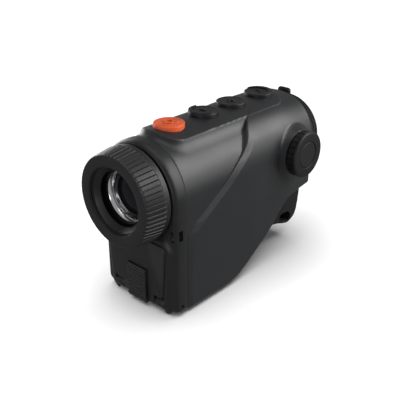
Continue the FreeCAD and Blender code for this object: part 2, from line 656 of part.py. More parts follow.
def focus_ring():
    """The knurled ring, its stepped mouth and the cam groove inside."""
    front, rear = d.ring_front, d.ring_rear
    bore = d.barrel_radius + d.fit
    body = optical("ring_turned", [
        (d.ring_mouth, front), (d.ring_front_radius - 0.7, front), (d.ring_front_radius, front + 0.7),
        (d.ring_rear_radius, rear), (bore, rear), (bore, d.cam_rear), (d.cam_radius, d.cam_rear),
        (d.cam_radius, d.cam_front), (bore, d.cam_front), (bore, front + d.ring_lip_depth),
        (d.ring_lip, front + d.ring_lip_depth), (d.ring_lip, front + d.ring_step_depth),
        (d.ring_step, front + d.ring_step_depth), (d.ring_step, front + d.ring_mouth_depth)])
    ribs(body, "ring", 36, d.ring_front_radius + 0.1, d.rib_width, d.rib_height - 0.1,
         front + d.rib_inset, d.rib_length)
    return node(body, "focus_ring")


def objective_barrel():
    """The fixed barrel that the ring turns on, slotted for the guide pin."""
    outer, bore = d.barrel_radius, d.barrel_bore
    groove = outer - d.oring_groove
    flange_end = d.flange_front + d.flange_thickness
    body = optical("barrel_turned", [
        (bore, d.barrel_front), (outer, d.barrel_front),
        (outer, d.oring_place - d.oring_half), (groove, d.oring_place - d.oring_half),
        (groove, d.oring_place + d.oring_half), (outer, d.oring_place + d.oring_half),
        (outer, d.flange_front), (d.flange_radius, d.flange_front), (d.flange_radius, flange_end),
        (outer, flange_end), (outer, d.barrel_rear), (bore, d.barrel_rear)])
    slot = box("guide_slot", -(d.pin_radius + d.fit), d.pin_radius + d.fit, d.cam_front, d.cam_rear,
               d.optical_height + 10, d.optical_height + 20)
    ways = screw_holes("flange_way", BARREL_SCREWS, "y", 1, 4)
    node(cut("barrel_slotted", body, slot, *ways), "objective_barrel")
    cord = doc.addObject("Part::Torus", "oring_cord_ring")
    bind(cord, "Radius1", d.oring_radius)
    bind(cord, "Radius2", d.oring_cord)
    place(cord, 0, d.oring_place, d.optical_height, Rotation(Z_AXIS, Y_AXIS))
    node(cord, "focus_oring")


def lens(label, radius, apex, edge, curve, forward):
    """A plano-convex lens; forward says that the curved side faces -Y."""
    low, high = sorted((apex, edge), key=float)
    middle = apex + (curve if forward else -curve)
    blank = rod(label + "_blank", "y", radius, low, high, z=d.optical_height)
    curved = ball(label + "_curve", curve, 0, middle, d.optical_height)
    return node(common(label + "_ground", blank, curved), label)


def objective_cell():
    """The sliding lens cell with its two lenses, retainer and guide pin."""
    outer = d.barrel_bore - d.fit
    body = optical("cell_turned", [
        (d.front_seat + d.seat, d.cell_front), (outer, d.cell_front), (outer, d.cell_rear),
        (d.rear_seat + d.seat, d.cell_rear), (d.rear_seat + d.seat, d.rear_seat_front),
        (d.rear_stop, d.rear_seat_front), (d.rear_stop, d.rear_stop_front),
        (d.cell_bore, d.rear_stop_front), (d.cell_bore, d.front_seat_end),
        (d.front_seat + d.seat, d.front_seat_end)])
    hole = rod("pin_bore", "z", d.pin_radius + d.seat, d.optical_height + 12,
               d.optical_height + 17, y=d.pin_place)
    node(cut("cell_drilled", body, hole), "objective_cell")
    lens("objective_front_lens", d.front_seat, d.front_seat_end - d.front_lens_depth,
         d.front_seat_end, d.front_lens_curve, True)
    lens("objective_rear_lens", d.rear_seat, d.rear_seat_front + d.rear_lens_depth,
         d.rear_seat_front, d.rear_lens_curve, False)
    node(optical("retainer", tube(d.retainer_bore, d.front_seat, d.cell_front + 0.2,
                                  d.cell_front + d.retainer_depth)), "objective_retaining_ring")
    node(rod("guide_pin", "z", d.pin_radius, d.optical_height + d.pin_foot,
             d.optical_height + d.pin_reach, y=d.pin_place), "focus_guide_pin")


# ---------------------------------------------------------------- buttons and keypad

def buttons():
    """Four round buttons, each flanged so that the plateau holds it in."""
    for name, y in BUTTON_PLACES.items():
        body = turned("cap_" + name, "z", [
            (0, d.button_bottom), (d.button_flange, d.button_bottom),
            (d.button_flange, d.button_flange_top), (d.button_radius, d.button_flange_top),
            (d.button_radius, d.button_top - d.button_bevel),
            (d.button_radius - d.button_bevel, d.button_top),
            (d.button_dish_radius, d.button_top), (d.button_dish_radius, d.button_top - d.button_dish),
            (0, d.button_top - d.button_dish)], y=y)
        node(body, "button_" + name)


def keypad():
    """The sealing membrane, the switch board under it and its switches."""
    node(box("membrane", -d.membrane_half, d.membrane_half, d.membrane_front, d.membrane_rear,
             d.membrane_low, d.membrane_top), "button_membrane")
    node(box("keypad_plate", -d.keypad_half, d.keypad_half, d.membrane_front, d.membrane_rear,
             d.keypad_low, d.keypad_top), "keypad_board")
    made = []
    half = d.switch_half
    for name, y in BUTTON_PLACES.items():
        body = box("switch_body_" + name, -half, half, y - half, y + half, d.keypad_top,
                   d.keypad_top + d.switch_body)
        stem = rod("switch_stem_" + name, "z", d.switch_stem, d.keypad_top, d.switch_top, y=y)
        made.append(fuse("switch_" + name, body, stem))
    node(group("switch_group", made), "tact_switches")
    node(box("flex_strip", -5, 5, 36, 36.3, 43.1, d.keypad_low), "keypad_flex")


# ---------------------------------------------------------------- diopter knob and eyepiece

def diopter():
    """The side knob, its shaft with crank pin, bush, washer, o-ring, screw and cap."""
    side = {"y": d.knob_place, "z": d.optical_height}
    body = turned("knob_turned", "x", [
        (d.shaft_radius + d.seat, d.knob_back), (d.knob_radius - 1.4, d.knob_back),
        (d.knob_radius - 1.4, d.knob_back + 0.8), (d.knob_radius - 0.2, d.knob_back + 1.4),
        (d.knob_radius, d.knob_face - 0.5), (d.knob_radius - 0.5, d.knob_face),
        (d.knob_recess + 0.1, d.knob_face), (d.knob_recess + 0.1, d.knob_floor),
        (d.shaft_radius + d.seat, d.knob_floor)], **side)
    ribs(body, "knob", 24, d.knob_radius - 0.2, d.knob_rib_width, d.knob_rib, d.knob_back + 1,
         d.knob_face - d.knob_back - 1.6)
    node(body, "diopter_knob")
    node(turned("cap_disc", "x", [
        (0, d.cap_low), (d.knob_recess, d.cap_low), (d.knob_recess, d.cap_top - 0.4),
        (d.knob_recess - 0.5, d.cap_top), (0, d.cap_top)], **side), "knob_cap")
    thread = d.screw_shank + d.seat
    shaft = turned("shaft_turned", "x", [
        (0, d.crank_near), (d.crank_radius, d.crank_near), (d.crank_radius, d.crank_far),
        (d.shaft_radius, d.crank_far), (d.shaft_radius, d.shaft_end), (thread, d.shaft_end),
        (thread, d.shaft_end - 5.4), (0, d.shaft_end - 5.4)], **side)
    pin = rod("crank_pin", "x", d.crank_pin, d.crank_pin_end, d.crank_near + 0.2, y=d.knob_place,
              z=d.optical_height - d.crank_throw)
    node(fuse("shaft_whole", shaft, pin), "diopter_shaft")
    node(screw("knob_screw_part", d.shaft_end + 0.02, d.knob_place, d.optical_height, "x", 1, 5),
         "knob_screw")
    bore = d.shaft_radius + d.fit
    node(turned("bush_turned", "x", [
        (bore, d.bush_inner), (d.bush_flange, d.bush_inner), (d.bush_flange, d.bush_inner + 2.1),
        (d.bush_radius, d.bush_inner + 2.1), (d.bush_radius, d.boss_face), (3.8, d.boss_face),
        (3.8, d.boss_face - 1.5), (bore, d.boss_face - 1.5)], **side), "knob_bush")
    cord = doc.addObject("Part::Torus", "knob_cord")
    bind(cord, "Radius1", 3.2)
    bind(cord, "Radius2", d.oring_cord)
    place(cord, d.boss_face - 0.8, d.knob_place, d.optical_height, Rotation(Z_AXIS, X_AXIS))
    node(cord, "knob_oring")
    node(turned("knob_shim", "x", tube(bore, 6, d.boss_face + 0.06, d.knob_back - 0.06), **side),
         "knob_washer")


def eyepiece():
    """The eyepiece tube, and inside it the sliding cell with two lenses and a retainer."""
    tube_body = optical("eye_tube_turned", [
        (d.eye_tube_bore, d.eye_tube_front), (d.eye_flange, d.eye_tube_front),
        (d.eye_flange, d.eye_tube_front + d.eye_flange_depth),
        (d.eye_tube_radius, d.eye_tube_front + d.eye_flange_depth),
        (d.eye_tube_radius, d.eye_tube_rear), (d.eye_tube_bore, d.eye_tube_rear)])
    crank_hole = rod("crank_hole", "x", d.crank_radius + 0.3, 8, 20, y=d.knob_place,
                     z=d.optical_height)
    node(cut("eye_tube_drilled", tube_body, crank_hole), "eyepiece_tube")
    outer = d.eye_tube_bore - d.fit
    cell = optical("eye_cell_turned", [
        (d.eye_front_seat + d.seat, d.eye_cell_front), (outer, d.eye_cell_front),
        (outer, d.eye_cell_rear), (d.eye_rear_seat + d.seat, d.eye_cell_rear),
        (d.eye_rear_seat + d.seat, d.eye_rear_seat_start), (d.eye_bore, d.eye_rear_seat_start),
        (d.eye_bore, d.eye_front_seat_end), (d.eye_front_seat + d.seat, d.eye_front_seat_end)])
    half = d.crank_pin + 0.15
    slot_z = d.optical_height - d.crank_throw
    slot = box("crank_slot", 8, 15, d.knob_place - half, d.knob_place + half, slot_z - half,
               slot_z + half + 0.6)
    node(cut("eye_cell_slotted", cell, slot), "eyepiece_cell")
    lens("eye_front_lens", d.eye_front_seat, d.eye_front_seat_end - 4.6, d.eye_front_seat_end,
         d.rear_lens_curve, True)
    lens("eye_rear_lens", d.eye_rear_seat, d.eye_rear_seat_start + 4.4, d.eye_rear_seat_start,
         d.rear_lens_curve, False)
    node(optical("eye_retainer", tube(11.4, d.eye_rear_seat, d.eye_rear_seat_start + 4.2,
                                      d.eye_cell_rear - 0.3)), "eye_lens_retainer")


# ---------------------------------------------------------------- electronics and battery

def electronics():
    """Chassis, board, sensor core, shutter, display and port."""
    half = d.chassis_half
    chassis = box("chassis_plate", -half, half, -14, 50, d.chassis_low, d.chassis_top)
    posts = [rod("post_%d" % i, "z", d.post_radius, d.chassis_low + 1, d.board_low, x=x, y=y)
             for i, (x, y, z) in enumerate(BOARD_SCREWS)]
    ways = screw_holes("chassis_way", BOARD_SCREWS, "z", 1, d.screw_length)
    node(cut("chassis_drilled", fuse("chassis_solid", chassis, *posts), *ways), "chassis_frame")
    board = box("board_plate", -d.board_half, d.board_half, -13, 51, d.board_low, d.board_top)
    ways = screw_holes("board_way", BOARD_SCREWS, "z", 1, d.screw_length)
    node(cut("board_drilled", board, *ways), "main_board")
    screws("board_screws", BOARD_SCREWS, "z", 1, d.screw_length)
    half = d.shield_half
    node(box("shield_can", -half, half, -2, 24, d.board_top, d.shield_top), "processor_shield")
    node(box("pad_strip", 1 - half, half - 1, -1, 12, d.shield_top, d.pad_top), "thermal_pad")
    half = d.core_half
    spreader = [box("spreader_plate", -half, half, d.core_front, d.spreader_rear, d.pad_top,
                    d.spreader_top),
                box("spreader_back", -half, half, d.spreader_rear - 1.8, d.spreader_rear,
                    d.pad_top + 1, d.spreader_high)]
    node(fuse("spreader_bent", *spreader), "heat_spreader")
    core = [box("core_case", -half, half, d.core_front, d.core_rear, d.spreader_top, d.core_top),
            rod("core_snout", "y", d.snout_radius, d.snout_front, d.core_front + 1,
                z=d.optical_height)]
    window = rod("core_window", "y", d.window_radius, d.snout_front - 1, d.core_front - 2.5,
                 z=d.optical_height)
    node(cut("core_open", fuse("core_solid", *core), window), "sensor_core")
    shutter()
    half = d.display_half
    node(box("display_case", -half, half, d.display_front, d.display_rear, d.display_low,
             d.display_high), "display_module")
    frame = box("display_frame", -half - 3, half + 3, d.display_rear, d.eye_tube_front,
                d.display_low - 3.5, d.display_high + 3.5)
    hole = box("display_hole", 2 - half, half - 2, 46, 53, d.display_low + 3, d.display_high - 3)
    node(cut("display_cut", frame, hole), "display_bracket")
    shell = box("port_shell", -24.2, -16, 8.2, 16.8, d.board_top, 46.5)
    mouth = box("port_mouth", -26, -18, 9.2, 15.8, d.board_top + 0.8, 45.7)
    node(cut("port_cut", shell, mouth), "usb_connector")
    flap = box("flap_plate", d.flap_outer, d.flap_outer + d.flap_depth, d.flap_front, d.flap_rear,
               d.flap_hinge, d.flap_top)
    bead = rod("flap_bead", "y", d.flap_depth / 2, d.flap_front, d.flap_rear,
               x=d.flap_outer + d.flap_depth / 2, z=d.flap_hinge)
    plug = box("flap_plug", -25.1, -24.3, 8.6, 16.4, 43.3, 46.3)
    node(fuse("flap_whole", flap, bead, plug), "port_flap")


def shutter():
    """The calibration shutter: a frame with a pivot, and the vane that swings over the hole."""
    front, back = d.shutter_front, d.shutter_back
    frame = box("shutter_plate", -11, 11, front, back, d.vane_pivot_height - 2.5, 75)
    hole = rod("shutter_hole", "y", d.shutter_hole, front - 1, back + 1, z=d.optical_height)
    pivot = rod("shutter_pivot", "y", 0.8, back - 0.2, back + 0.8, x=d.vane_pivot,
                z=d.vane_pivot_height)
    node(fuse("shutter_solid", cut("shutter_cut", frame, hole), pivot), "shutter_unit")
    turn = math.radians(d.vane_parked.value)
    reach_x, reach_z = -d.vane_pivot.value, d.optical_height.value - d.vane_pivot_height.value
    x = d.vane_pivot.value + reach_x * math.cos(turn) + reach_z * math.sin(turn)
    z = d.vane_pivot_height.value - reach_x * math.sin(turn) + reach_z * math.cos(turn)
    near, far = back + 0.2, back + 0.6
    blade = rod("vane_blade", "y", d.shutter_hole + 0.4, near, far, x=x, z=z)
    hub = rod("vane_hub", "y", 2, near, far, x=d.vane_pivot, z=d.vane_pivot_height)
    lean_angle = math.atan2(x - d.vane_pivot.value, z - d.vane_pivot_height.value)
    lean = Rotation(Y_AXIS, math.degrees(lean_angle))
    arm = box("vane_arm", 0, 2.4, near, far, 0, 10)
    edge = lean.multVec(Vector(-1.2, 0, 0))
    arm.Placement = Placement(
        Vector(d.vane_pivot.value + edge.x, near.value, d.vane_pivot_height.value + edge.z), lean)
    bore = rod("vane_bore", "y", 0.86, near - 1, far + 1, x=d.vane_pivot, z=d.vane_pivot_height)
    node(cut("vane_cut", fuse("vane_solid", blade, hub, arm), bore), "shutter_vane")


def battery():
    """The lithium cell, its tube and the rear contact."""
    start = d.battery_front
    end = start + d.battery_length
    node(rod("cell_can", "y", d.battery_radius, start, end, z=d.battery_height), "battery_cell")
    node(turned("tube_turned", "y", [
        (d.tube_bore, d.tube_front), (d.tube_radius, d.tube_front), (d.tube_radius, d.tube_rear),
        (3, d.tube_rear), (3, d.tube_rear - 0.7), (d.tube_bore, d.tube_rear - 0.7)],
        z=d.battery_height), "battery_tube")
    node(rod("rear_contact_disc", "y", 6, end + 0.1, d.tube_rear - 0.75, z=d.battery_height),
         "battery_rear_contact")


# ---------------------------------------------------------------- belly cover

def belly_cover():
    """The lower cover with the tail, the strap eyelet and the tripod insert's boss."""
    points = [
        (d.keel_front, 0), (d.belly_flat_end, 0), (d.keel_mid, d.keel_mid_height),
        (d.tail_dip, d.tail_dip_height), (d.tail_dip + 9, d.tail_dip_height - 0.8),
        (d.tail_low, d.tail_low_height), (d.tail_low + 5, d.tail_low_height + 1.1),
        (d.tail_heel, d.tail_heel_height), (d.tail_back, d.tail_back_height),
        (d.tail_top, d.belly_rear_height - 4), (d.tail_top, d.belly_rear_height),
    ] + belly() + [(d.keel_front, d.shell_bottom)]
    slab = side_profile("cover_slab", points, d.tail_half)
    boss = rod("insert_boss_rod", "z", d.insert_boss, 0, d.insert_length + 0.6)
    eyelet = side_profile("eyelet", [
        (d.eyelet_front, d.eyelet_low + 2.6), (d.eyelet_rear - 1.8, d.eyelet_low),
        (d.eyelet_rear, d.eyelet_low + 1.7), (d.eyelet_rear, d.eyelet_low + 3.5),
        (d.eyelet_rear - 2.2, d.eyelet_high - 0.7), (d.eyelet_front + 2.4, d.eyelet_high),
        (d.eyelet_front, d.eyelet_high - 1.4),
    ], 30)
    holes = [rod("insert_seat", "z", d.insert_radius + d.seat, -1, d.insert_length), eyelet]
    for number, (x, y, z) in enumerate(COVER_SCREWS):
        holes.append(rod("cover_sink_%d" % number, "z", d.screw_head + 0.1, -1, 0.62, x=x, y=y))
    holes += screw_holes("cover_way", COVER_SCREWS, "z", -1, 3)
    node(cut("cover_cut", fuse("cover_solid", slab, boss), *holes), "belly_cover")
    insert = turned("insert_turned", "z", tube(d.insert_bore, d.insert_radius, 0, d.insert_length))
    node(insert, "tripod_insert")


# ---------------------------------------------------------------- assembly

housing()
rear_ring()
eyecup()
bezel()
battery_door()
door_latch()
focus_ring()
objective_barrel()
objective_cell()
buttons()
keypad()
diopter()
eyepiece()
electronics()
battery()
belly_cover()
screws("bezel_screws", BEZEL_SCREWS, "y", -1, 7)
screws("barrel_screws", BARREL_SCREWS, "y", 1, 4)
screws("belly_cover_screws", COVER_SCREWS, "z", -1, 3)
doc.recompute()

broken = [item.Name for item in doc.Objects if {"Invalid", "Error"} & set(item.State)]
for item in nodes:
    if item.Shape.isNull() or not item.Shape.isValid():
        broken.append(item.Label)
if broken:
    raise RuntimeError("failed: " + ", ".join(broken))

os.makedirs("parts", exist_ok=True)
for item in nodes:
    item.Shape.exportStep("parts/%s.step" % item.Label)
    print("%-26s %9.1f mm3" % (item.Label, item.Shape.Volume))
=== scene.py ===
import json
import math

import bmesh
import bpy
import numpy as np
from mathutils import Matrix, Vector


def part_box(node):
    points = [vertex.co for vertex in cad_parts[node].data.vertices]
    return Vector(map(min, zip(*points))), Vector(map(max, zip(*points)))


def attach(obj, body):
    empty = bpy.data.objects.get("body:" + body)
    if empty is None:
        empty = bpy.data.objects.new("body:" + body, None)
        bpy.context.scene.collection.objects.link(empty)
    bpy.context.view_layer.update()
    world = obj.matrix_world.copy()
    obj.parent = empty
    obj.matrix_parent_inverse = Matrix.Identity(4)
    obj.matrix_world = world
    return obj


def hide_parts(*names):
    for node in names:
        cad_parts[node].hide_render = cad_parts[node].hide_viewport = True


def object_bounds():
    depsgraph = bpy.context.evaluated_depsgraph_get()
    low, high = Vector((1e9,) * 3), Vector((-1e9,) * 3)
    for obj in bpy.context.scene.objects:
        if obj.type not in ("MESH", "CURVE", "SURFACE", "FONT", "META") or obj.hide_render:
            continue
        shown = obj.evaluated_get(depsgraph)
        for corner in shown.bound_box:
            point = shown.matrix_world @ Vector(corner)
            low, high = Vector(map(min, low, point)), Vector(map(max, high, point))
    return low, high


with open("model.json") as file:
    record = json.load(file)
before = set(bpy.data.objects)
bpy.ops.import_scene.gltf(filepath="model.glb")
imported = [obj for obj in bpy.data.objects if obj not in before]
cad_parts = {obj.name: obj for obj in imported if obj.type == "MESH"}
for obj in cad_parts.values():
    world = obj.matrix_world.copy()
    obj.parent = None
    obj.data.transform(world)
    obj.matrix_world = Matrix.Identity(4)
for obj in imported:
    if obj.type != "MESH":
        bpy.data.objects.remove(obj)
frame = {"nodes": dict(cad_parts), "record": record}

# Handheld thermal monocular. Lengths in this script are millimetres unless a name says otherwise;
# MM turns them into the scene's metres. +Z is up, the lens looks along -Y, the knob is on +X.
MM = 0.001
cad_low, cad_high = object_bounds()


def mm_box(node):
    """A CAD node's low and high corners in millimetres."""
    low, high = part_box(node)
    return np.array(low) / MM, np.array(high) / MM


# ---------------------------------------------------------------- sizes from the frame

RING_LOW, RING_HIGH = mm_box("focus_ring")
HOUSING_LOW, HOUSING_HIGH = mm_box("housing")
KNOB_LOW, KNOB_HIGH = mm_box("diopter_knob")
LATCH_LOW = mm_box("door_latch")[0]
REAR_HIGH = mm_box("rear_ring")[1]
CUP_LOW, CUP_HIGH = mm_box("eyecup")

AXIS_Z = (RING_LOW[2] + RING_HIGH[2]) / 2
KNOB_Y = (KNOB_LOW[1] + KNOB_HIGH[1]) / 2
SEAM = HOUSING_LOW[1]
REAR = HOUSING_HIGH[1]
PLATEAU = HOUSING_HIGH[2]
BELLY = HOUSING_LOW[2]
BUTTONS = {}
for key in ("button_power", "button_zoom", "button_palette", "button_capture"):
    key_low, key_high = mm_box(key)
    BUTTONS[key] = (key_low[1] + key_high[1]) / 2
BUTTON_LOW, BUTTON_HIGH = mm_box("button_power")
BATTERY_Z = 28.8  # height of the battery's axis


# ---------------------------------------------------------------- mesh helpers

def new_piece(name, points, faces, smooth=40.0):
    """A mesh object from millimetre points; edges sharper than smooth degrees stay crisp."""
    mesh = bpy.data.meshes.new(name)
    coords = np.asarray(points, float) * MM
    mesh.from_pydata([tuple(p) for p in coords.tolist()], [], [tuple(f) for f in faces])
    mesh.update()
    piece = bpy.data.objects.new(name, mesh)
    bpy.context.scene.collection.objects.link(piece)
    tidy_mesh(piece, smooth)
    return piece


def tidy_mesh(piece, smooth=40.0):
    """Merge doubles, face outwards and shade smooth up to an angle."""
    bm = bmesh.new()
    bm.from_mesh(piece.data)
    bmesh.ops.remove_doubles(bm, verts=bm.verts, dist=0.002 * MM)
    bmesh.ops.recalc_face_normals(bm, faces=bm.faces)
    bm.to_mesh(piece.data)
    bm.free()
    for polygon in piece.data.polygons:
        polygon.use_smooth = True
    piece.data.set_sharp_from_angle(angle=math.radians(smooth))


def drop_crumbs(piece, fewest=12):
    """Delete islands of a few faces, which a boolean can leave behind."""
    bm = bmesh.new()
    bm.from_mesh(piece.data)
    bmesh.ops.dissolve_degenerate(bm, dist=0.0008 * MM, edges=bm.edges)
    seen, crumbs = set(), []
    for face in bm.faces:
        if face in seen:
            continue
        seen.add(face)
        island, queue = [], [face]
        while queue:
            here = queue.pop()
            island.append(here)
            for edge in here.edges:
                for other in edge.link_faces:
                    if other not in seen:
                        seen.add(other)
                        queue.append(other)
        if len(island) < fewest:
            crumbs += island
    bmesh.ops.delete(bm, geom=crumbs, context="FACES")
    bm.to_mesh(piece.data)
    bm.free()


def grid_faces(rows, columns, close_rows=False, close_columns=True):
    """Quads between neighbouring rows and columns of a point grid."""
    faces = []
    for i in range(rows if close_rows else rows - 1):
        a = i * columns
        b = ((i + 1) % rows) * columns
        for j in range(columns if close_columns else columns - 1):
            k = (j + 1) % columns
            faces.append((a + j, a + k, b + k, b + j))
    return faces


def apply_modifiers(piece):
    """Freeze a piece's modifiers into its mesh."""
    graph = bpy.context.evaluated_depsgraph_get()
    mesh = bpy.data.meshes.new_from_object(piece.evaluated_get(graph))
    piece.modifiers.clear()
    old = piece.data
    piece.data = mesh
    bpy.data.meshes.remove(old)


def combine(piece, tools, operation="DIFFERENCE", smooth=40.0):
    """Boolean a list of tool meshes into a piece and drop the tools."""
    for tool in tools:
        step = piece.modifiers.new(tool.name, "BOOLEAN")
        step.operation = operation
        step.object = tool
        step.solver = "EXACT"
    apply_modifiers(piece)
    for tool in tools:
        bpy.data.objects.remove(tool)
    tidy_mesh(piece, smooth)
    drop_crumbs(piece)
    return piece


def soften(profile, radius, steps=4, closed=True):
    """Round each corner of an outline by an arc of about the given radius."""
    points = [np.array(p, float) for p in profile]
    out = []
    count = len(points)
    for i, here in enumerate(points):
        if not closed and i in (0, count - 1):
            out.append(tuple(here))
            continue
        before = points[(i - 1) % count] - here
        after = points[(i + 1) % count] - here
        reach = min(radius, 0.45 * np.linalg.norm(before), 0.45 * np.linalg.norm(after))
        start = here + before / np.linalg.norm(before) * reach
        end = here + after / np.linalg.norm(after) * reach
        for step in range(steps + 1):
            t = step / steps
            out.append(tuple((1 - t) ** 2 * start + 2 * t * (1 - t) * here + t ** 2 * end))
    return out


AXES = {
    "x": lambda r, a, angle: (a, r * np.cos(angle), r * np.sin(angle)),
    "y": lambda r, a, angle: (r * np.cos(angle), a, r * np.sin(angle)),
    "z": lambda r, a, angle: (r * np.cos(angle), r * np.sin(angle), a),
}


def lathe(name, profile, axis="y", centre=(0, 0, 0), segments=128, bump=None, smooth=35.0):
    """Turn a closed (radius, along) profile about an axis; bump(angle, r, along) adds radius."""
    angles = np.linspace(0, 2 * math.pi, segments, endpoint=False)
    rows = []
    for radius, along in profile:
        r = np.full(segments, float(radius))
        if bump is not None:
            r = r + bump(angles, radius, along)
        x, y, z = AXES[axis](r, np.full(segments, float(along)), angles)
        rows.append(np.stack([x, y, z], axis=1) + np.array(centre, float))
    points = np.concatenate(rows)
    faces = grid_faces(len(rows), segments, close_rows=True)
    return new_piece(name, points, faces, smooth)


def prism(name, outline, axis, start, end, bevel=0.0, steps=2, smooth=35.0):
    """Extrude a flat outline along an axis, with bevelled ends."""
    place = {
        "x": lambda u, v, w: (w, u, v),
        "y": lambda u, v, w: (u, w, v),
        "z": lambda u, v, w: (u, v, w),
    }[axis]
    count = len(outline)
    points = [place(u, v, start) for u, v in outline] + [place(u, v, end) for u, v in outline]
    faces = [tuple(range(count)), tuple(range(2 * count - 1, count - 1, -1))]
    for i in range(count):
        j = (i + 1) % count
        faces.append((i, j, count + j, count + i))
    piece = new_piece(name, points, faces, smooth)
    if bevel:
        round_edges(piece, bevel, steps, smooth=smooth)
    return piece


def round_edges(piece, width, steps=2, limit=32.0, smooth=35.0):
    """Bevel a piece's sharp edges."""
    step = piece.modifiers.new("bevel", "BEVEL")
    step.width = width * MM
    step.segments = steps
    step.limit_method = "ANGLE"
    step.angle_limit = math.radians(limit)
    step.harden_normals = False
    apply_modifiers(piece)
    tidy_mesh(piece, smooth)
    return piece


def block(name, low, high, bevel=0.0, steps=2):
    """A block between two corners, with bevelled edges."""
    outline = [(low[0], low[1]), (high[0], low[1]), (high[0], high[1]), (low[0], high[1])]
    return prism(name, outline, "z", low[2], high[2], bevel, steps)


def arc(cx, cy, radius, start, end, steps):
    """Points on an arc, angles in degrees."""
    angles = np.radians(np.linspace(start, end, steps))
    return [(cx + radius * math.cos(t), cy + radius * math.sin(t)) for t in angles]


def smoothstep(low, high, value):
    """0 below low, 1 above high, smooth between."""
    t = np.clip((value - low) / (high - low), 0.0, 1.0)
    return t * t * (3 - 2 * t)


def smooth_min(a, b, k):
    """The smaller of two fields with a blend of size k."""
    t = np.clip(0.5 + 0.5 * (b - a) / k, 0.0, 1.0)
    return b * (1 - t) + a * t - k * t * (1 - t)


def smooth_max(a, b, k):
    """The larger of two fields with a blend of size k."""
    return -smooth_min(-a, -b, k)


def eased(knots, width):
    """A smooth function through (input, output) knots, averaged over width."""
    keys = np.array([k[0] for k in knots], float)
    values = np.array([k[1] for k in knots], float)
    offsets = np.linspace(-width, width, 9)

    def read(x):
        x = np.asarray(x, float)
        return sum(np.interp(x + o, keys, values) for o in offsets) / len(offsets)
    return read


def last_inside(inside, near, far, steps):
    """Halve the gap between near, which is inside, and far, which is not; returns near."""
    for _ in range(steps):
        middle = (near + far) / 2
        within = inside(middle)
        near, far = np.where(within, middle, near), np.where(within, far, middle)
    return near


def span(side, first, second):
    """Two distances from the middle as x values on one side (-1 or 1), lowest first."""
    return sorted((first * side, second * side))


# ---------------------------------------------------------------- housing shape

SHELL_WALL = 2.2
END_ROUND = 0.5  # rounding where the skin meets its end faces
TUBE_HOLE = 16.05  # radius of the way for the eyepiece tube in the rear wall
CEILING = 86.2  # inside height under the plateau
SIDE_HALF = 26.1
FRONT_HALF = 25.0
SHELL_POWER = 2.35  # above 2, the rear section is squarer than an ellipse
BOSS_FOOT, BOSS_TOP, BOSS_FACE = 16.0, 12.6, 28.4  # the knob's boss: two radii and its x
NEAREST, FARTHEST = 5.0, 75.0  # the surface lies between these distances from the spine
REAR_BLEND, FRONT_BLEND = 0.7, 3.2  # how softly the plateau joins the rear and front surfaces
BELLY_LEAN = 0.86  # turns a height over the sloping belly into a distance from it
DIAGONAL = 0.707

belly_line = eased([(-40, BELLY), (9, BELLY), (15, 1.9), (21.6, 4.3), (45, 19.4), (57, 31.4),
                    (64, 34.8), (83, 36.4), (100, 36.8)], 4.0)
side_half = eased([(-40, SIDE_HALF), (66, SIDE_HALF), (84, 24.8)], 6.0)
top_half = eased([(-40, 27.6), (62, 27.6), (84, 25.9)], 6.0)
# the crease that runs from the plateau down to the seam: y of its edge at each height
crease = eased([(20, -23.5), (36, -22), (43.6, -19.6), (48, -15.1), (52, -8.9), (57, -1.4),
                (62, 6), (66, 11.1), (70, 16.2), (73, 21), (76.7, 25.8), (80.2, 29), (83.7, 31.8),
                (86.8, 37), (88, 43), (90, 50)], 0.8)
step_width = eased([(20, 0.45), (68, 0.5), (74.5, 2.2), (79, 3.8), (84, 3.8), (88, 2.2)], 1.5)
step_share = eased([(20, 0.2), (48, 0.22), (64, 0.3), (72, 0.55), (78, 1.0), (90, 1.0)], 1.5)
bevel_width = eased([(20, 5), (38, 5), (43, 5.5), (49, 6.2), (62, 7), (70, 6.8), (75, 5.5),
                     (79, 2.5), (83, 0.8), (90, 0.6)], 1.5)
belly_bevel = eased([(15, 1.1), (40, 1.3), (60, 1.8), (80, 1.4)], 4.0)


def plateau_field(x, y, z):
    """Inside (negative) the crowned strip that carries the buttons."""
    half_x, half_y, corner, crown = 13.1, 45.0, 9.5, 31.0
    qx = np.abs(x) - (half_x - corner)
    qy = np.abs(y - 27.0) - (half_y - corner)
    outside = np.hypot(np.maximum(qx, 0), np.maximum(qy, 0))
    edge = outside + np.minimum(np.maximum(qx, qy), 0) - corner
    top = np.hypot(x, z - (PLATEAU - crown)) - crown
    flank = np.maximum(edge - np.clip(PLATEAU - z, 0, 20) * 0.12, 66.0 - z)
    return smooth_max(top, flank, 0.35)


def arch_field(x, z, half, height, power):
    """Inside a round-topped, straight-sided arch."""
    rise = np.maximum(z - AXIS_Z, 0) / height
    return ((np.abs(x) / half) ** power + rise ** power) ** (1.0 / power) * half - half


def housing_field(x, y, z, raised):
    """The housing as an implicit shape; raised is the rear surface, otherwise the front one."""
    if raised:
        body = arch_field(x, z, side_half(y), top_half(y), SHELL_POWER)
        body = smooth_min(body, plateau_field(x, y, z), REAR_BLEND)
        reach = np.hypot(y - KNOB_Y, z - AXIS_Z)
        flare = np.clip((BOSS_FOOT - reach) / (BOSS_FOOT - BOSS_TOP), 0.0, 1.0) ** 2.0
        body = np.where(x > 12, body * (1 - flare) + (x - BOSS_FACE) * flare, body)
    else:
        body = arch_field(x, z, FRONT_HALF, 25.7, 2.0)
        body = smooth_min(body, plateau_field(x, y, z), FRONT_BLEND)
    under = (belly_line(y) - z) * BELLY_LEAN
    edge = (body + under + belly_bevel(y)) * DIAGONAL
    return smooth_max(smooth_max(body, under, 0.5), edge, 0.4)


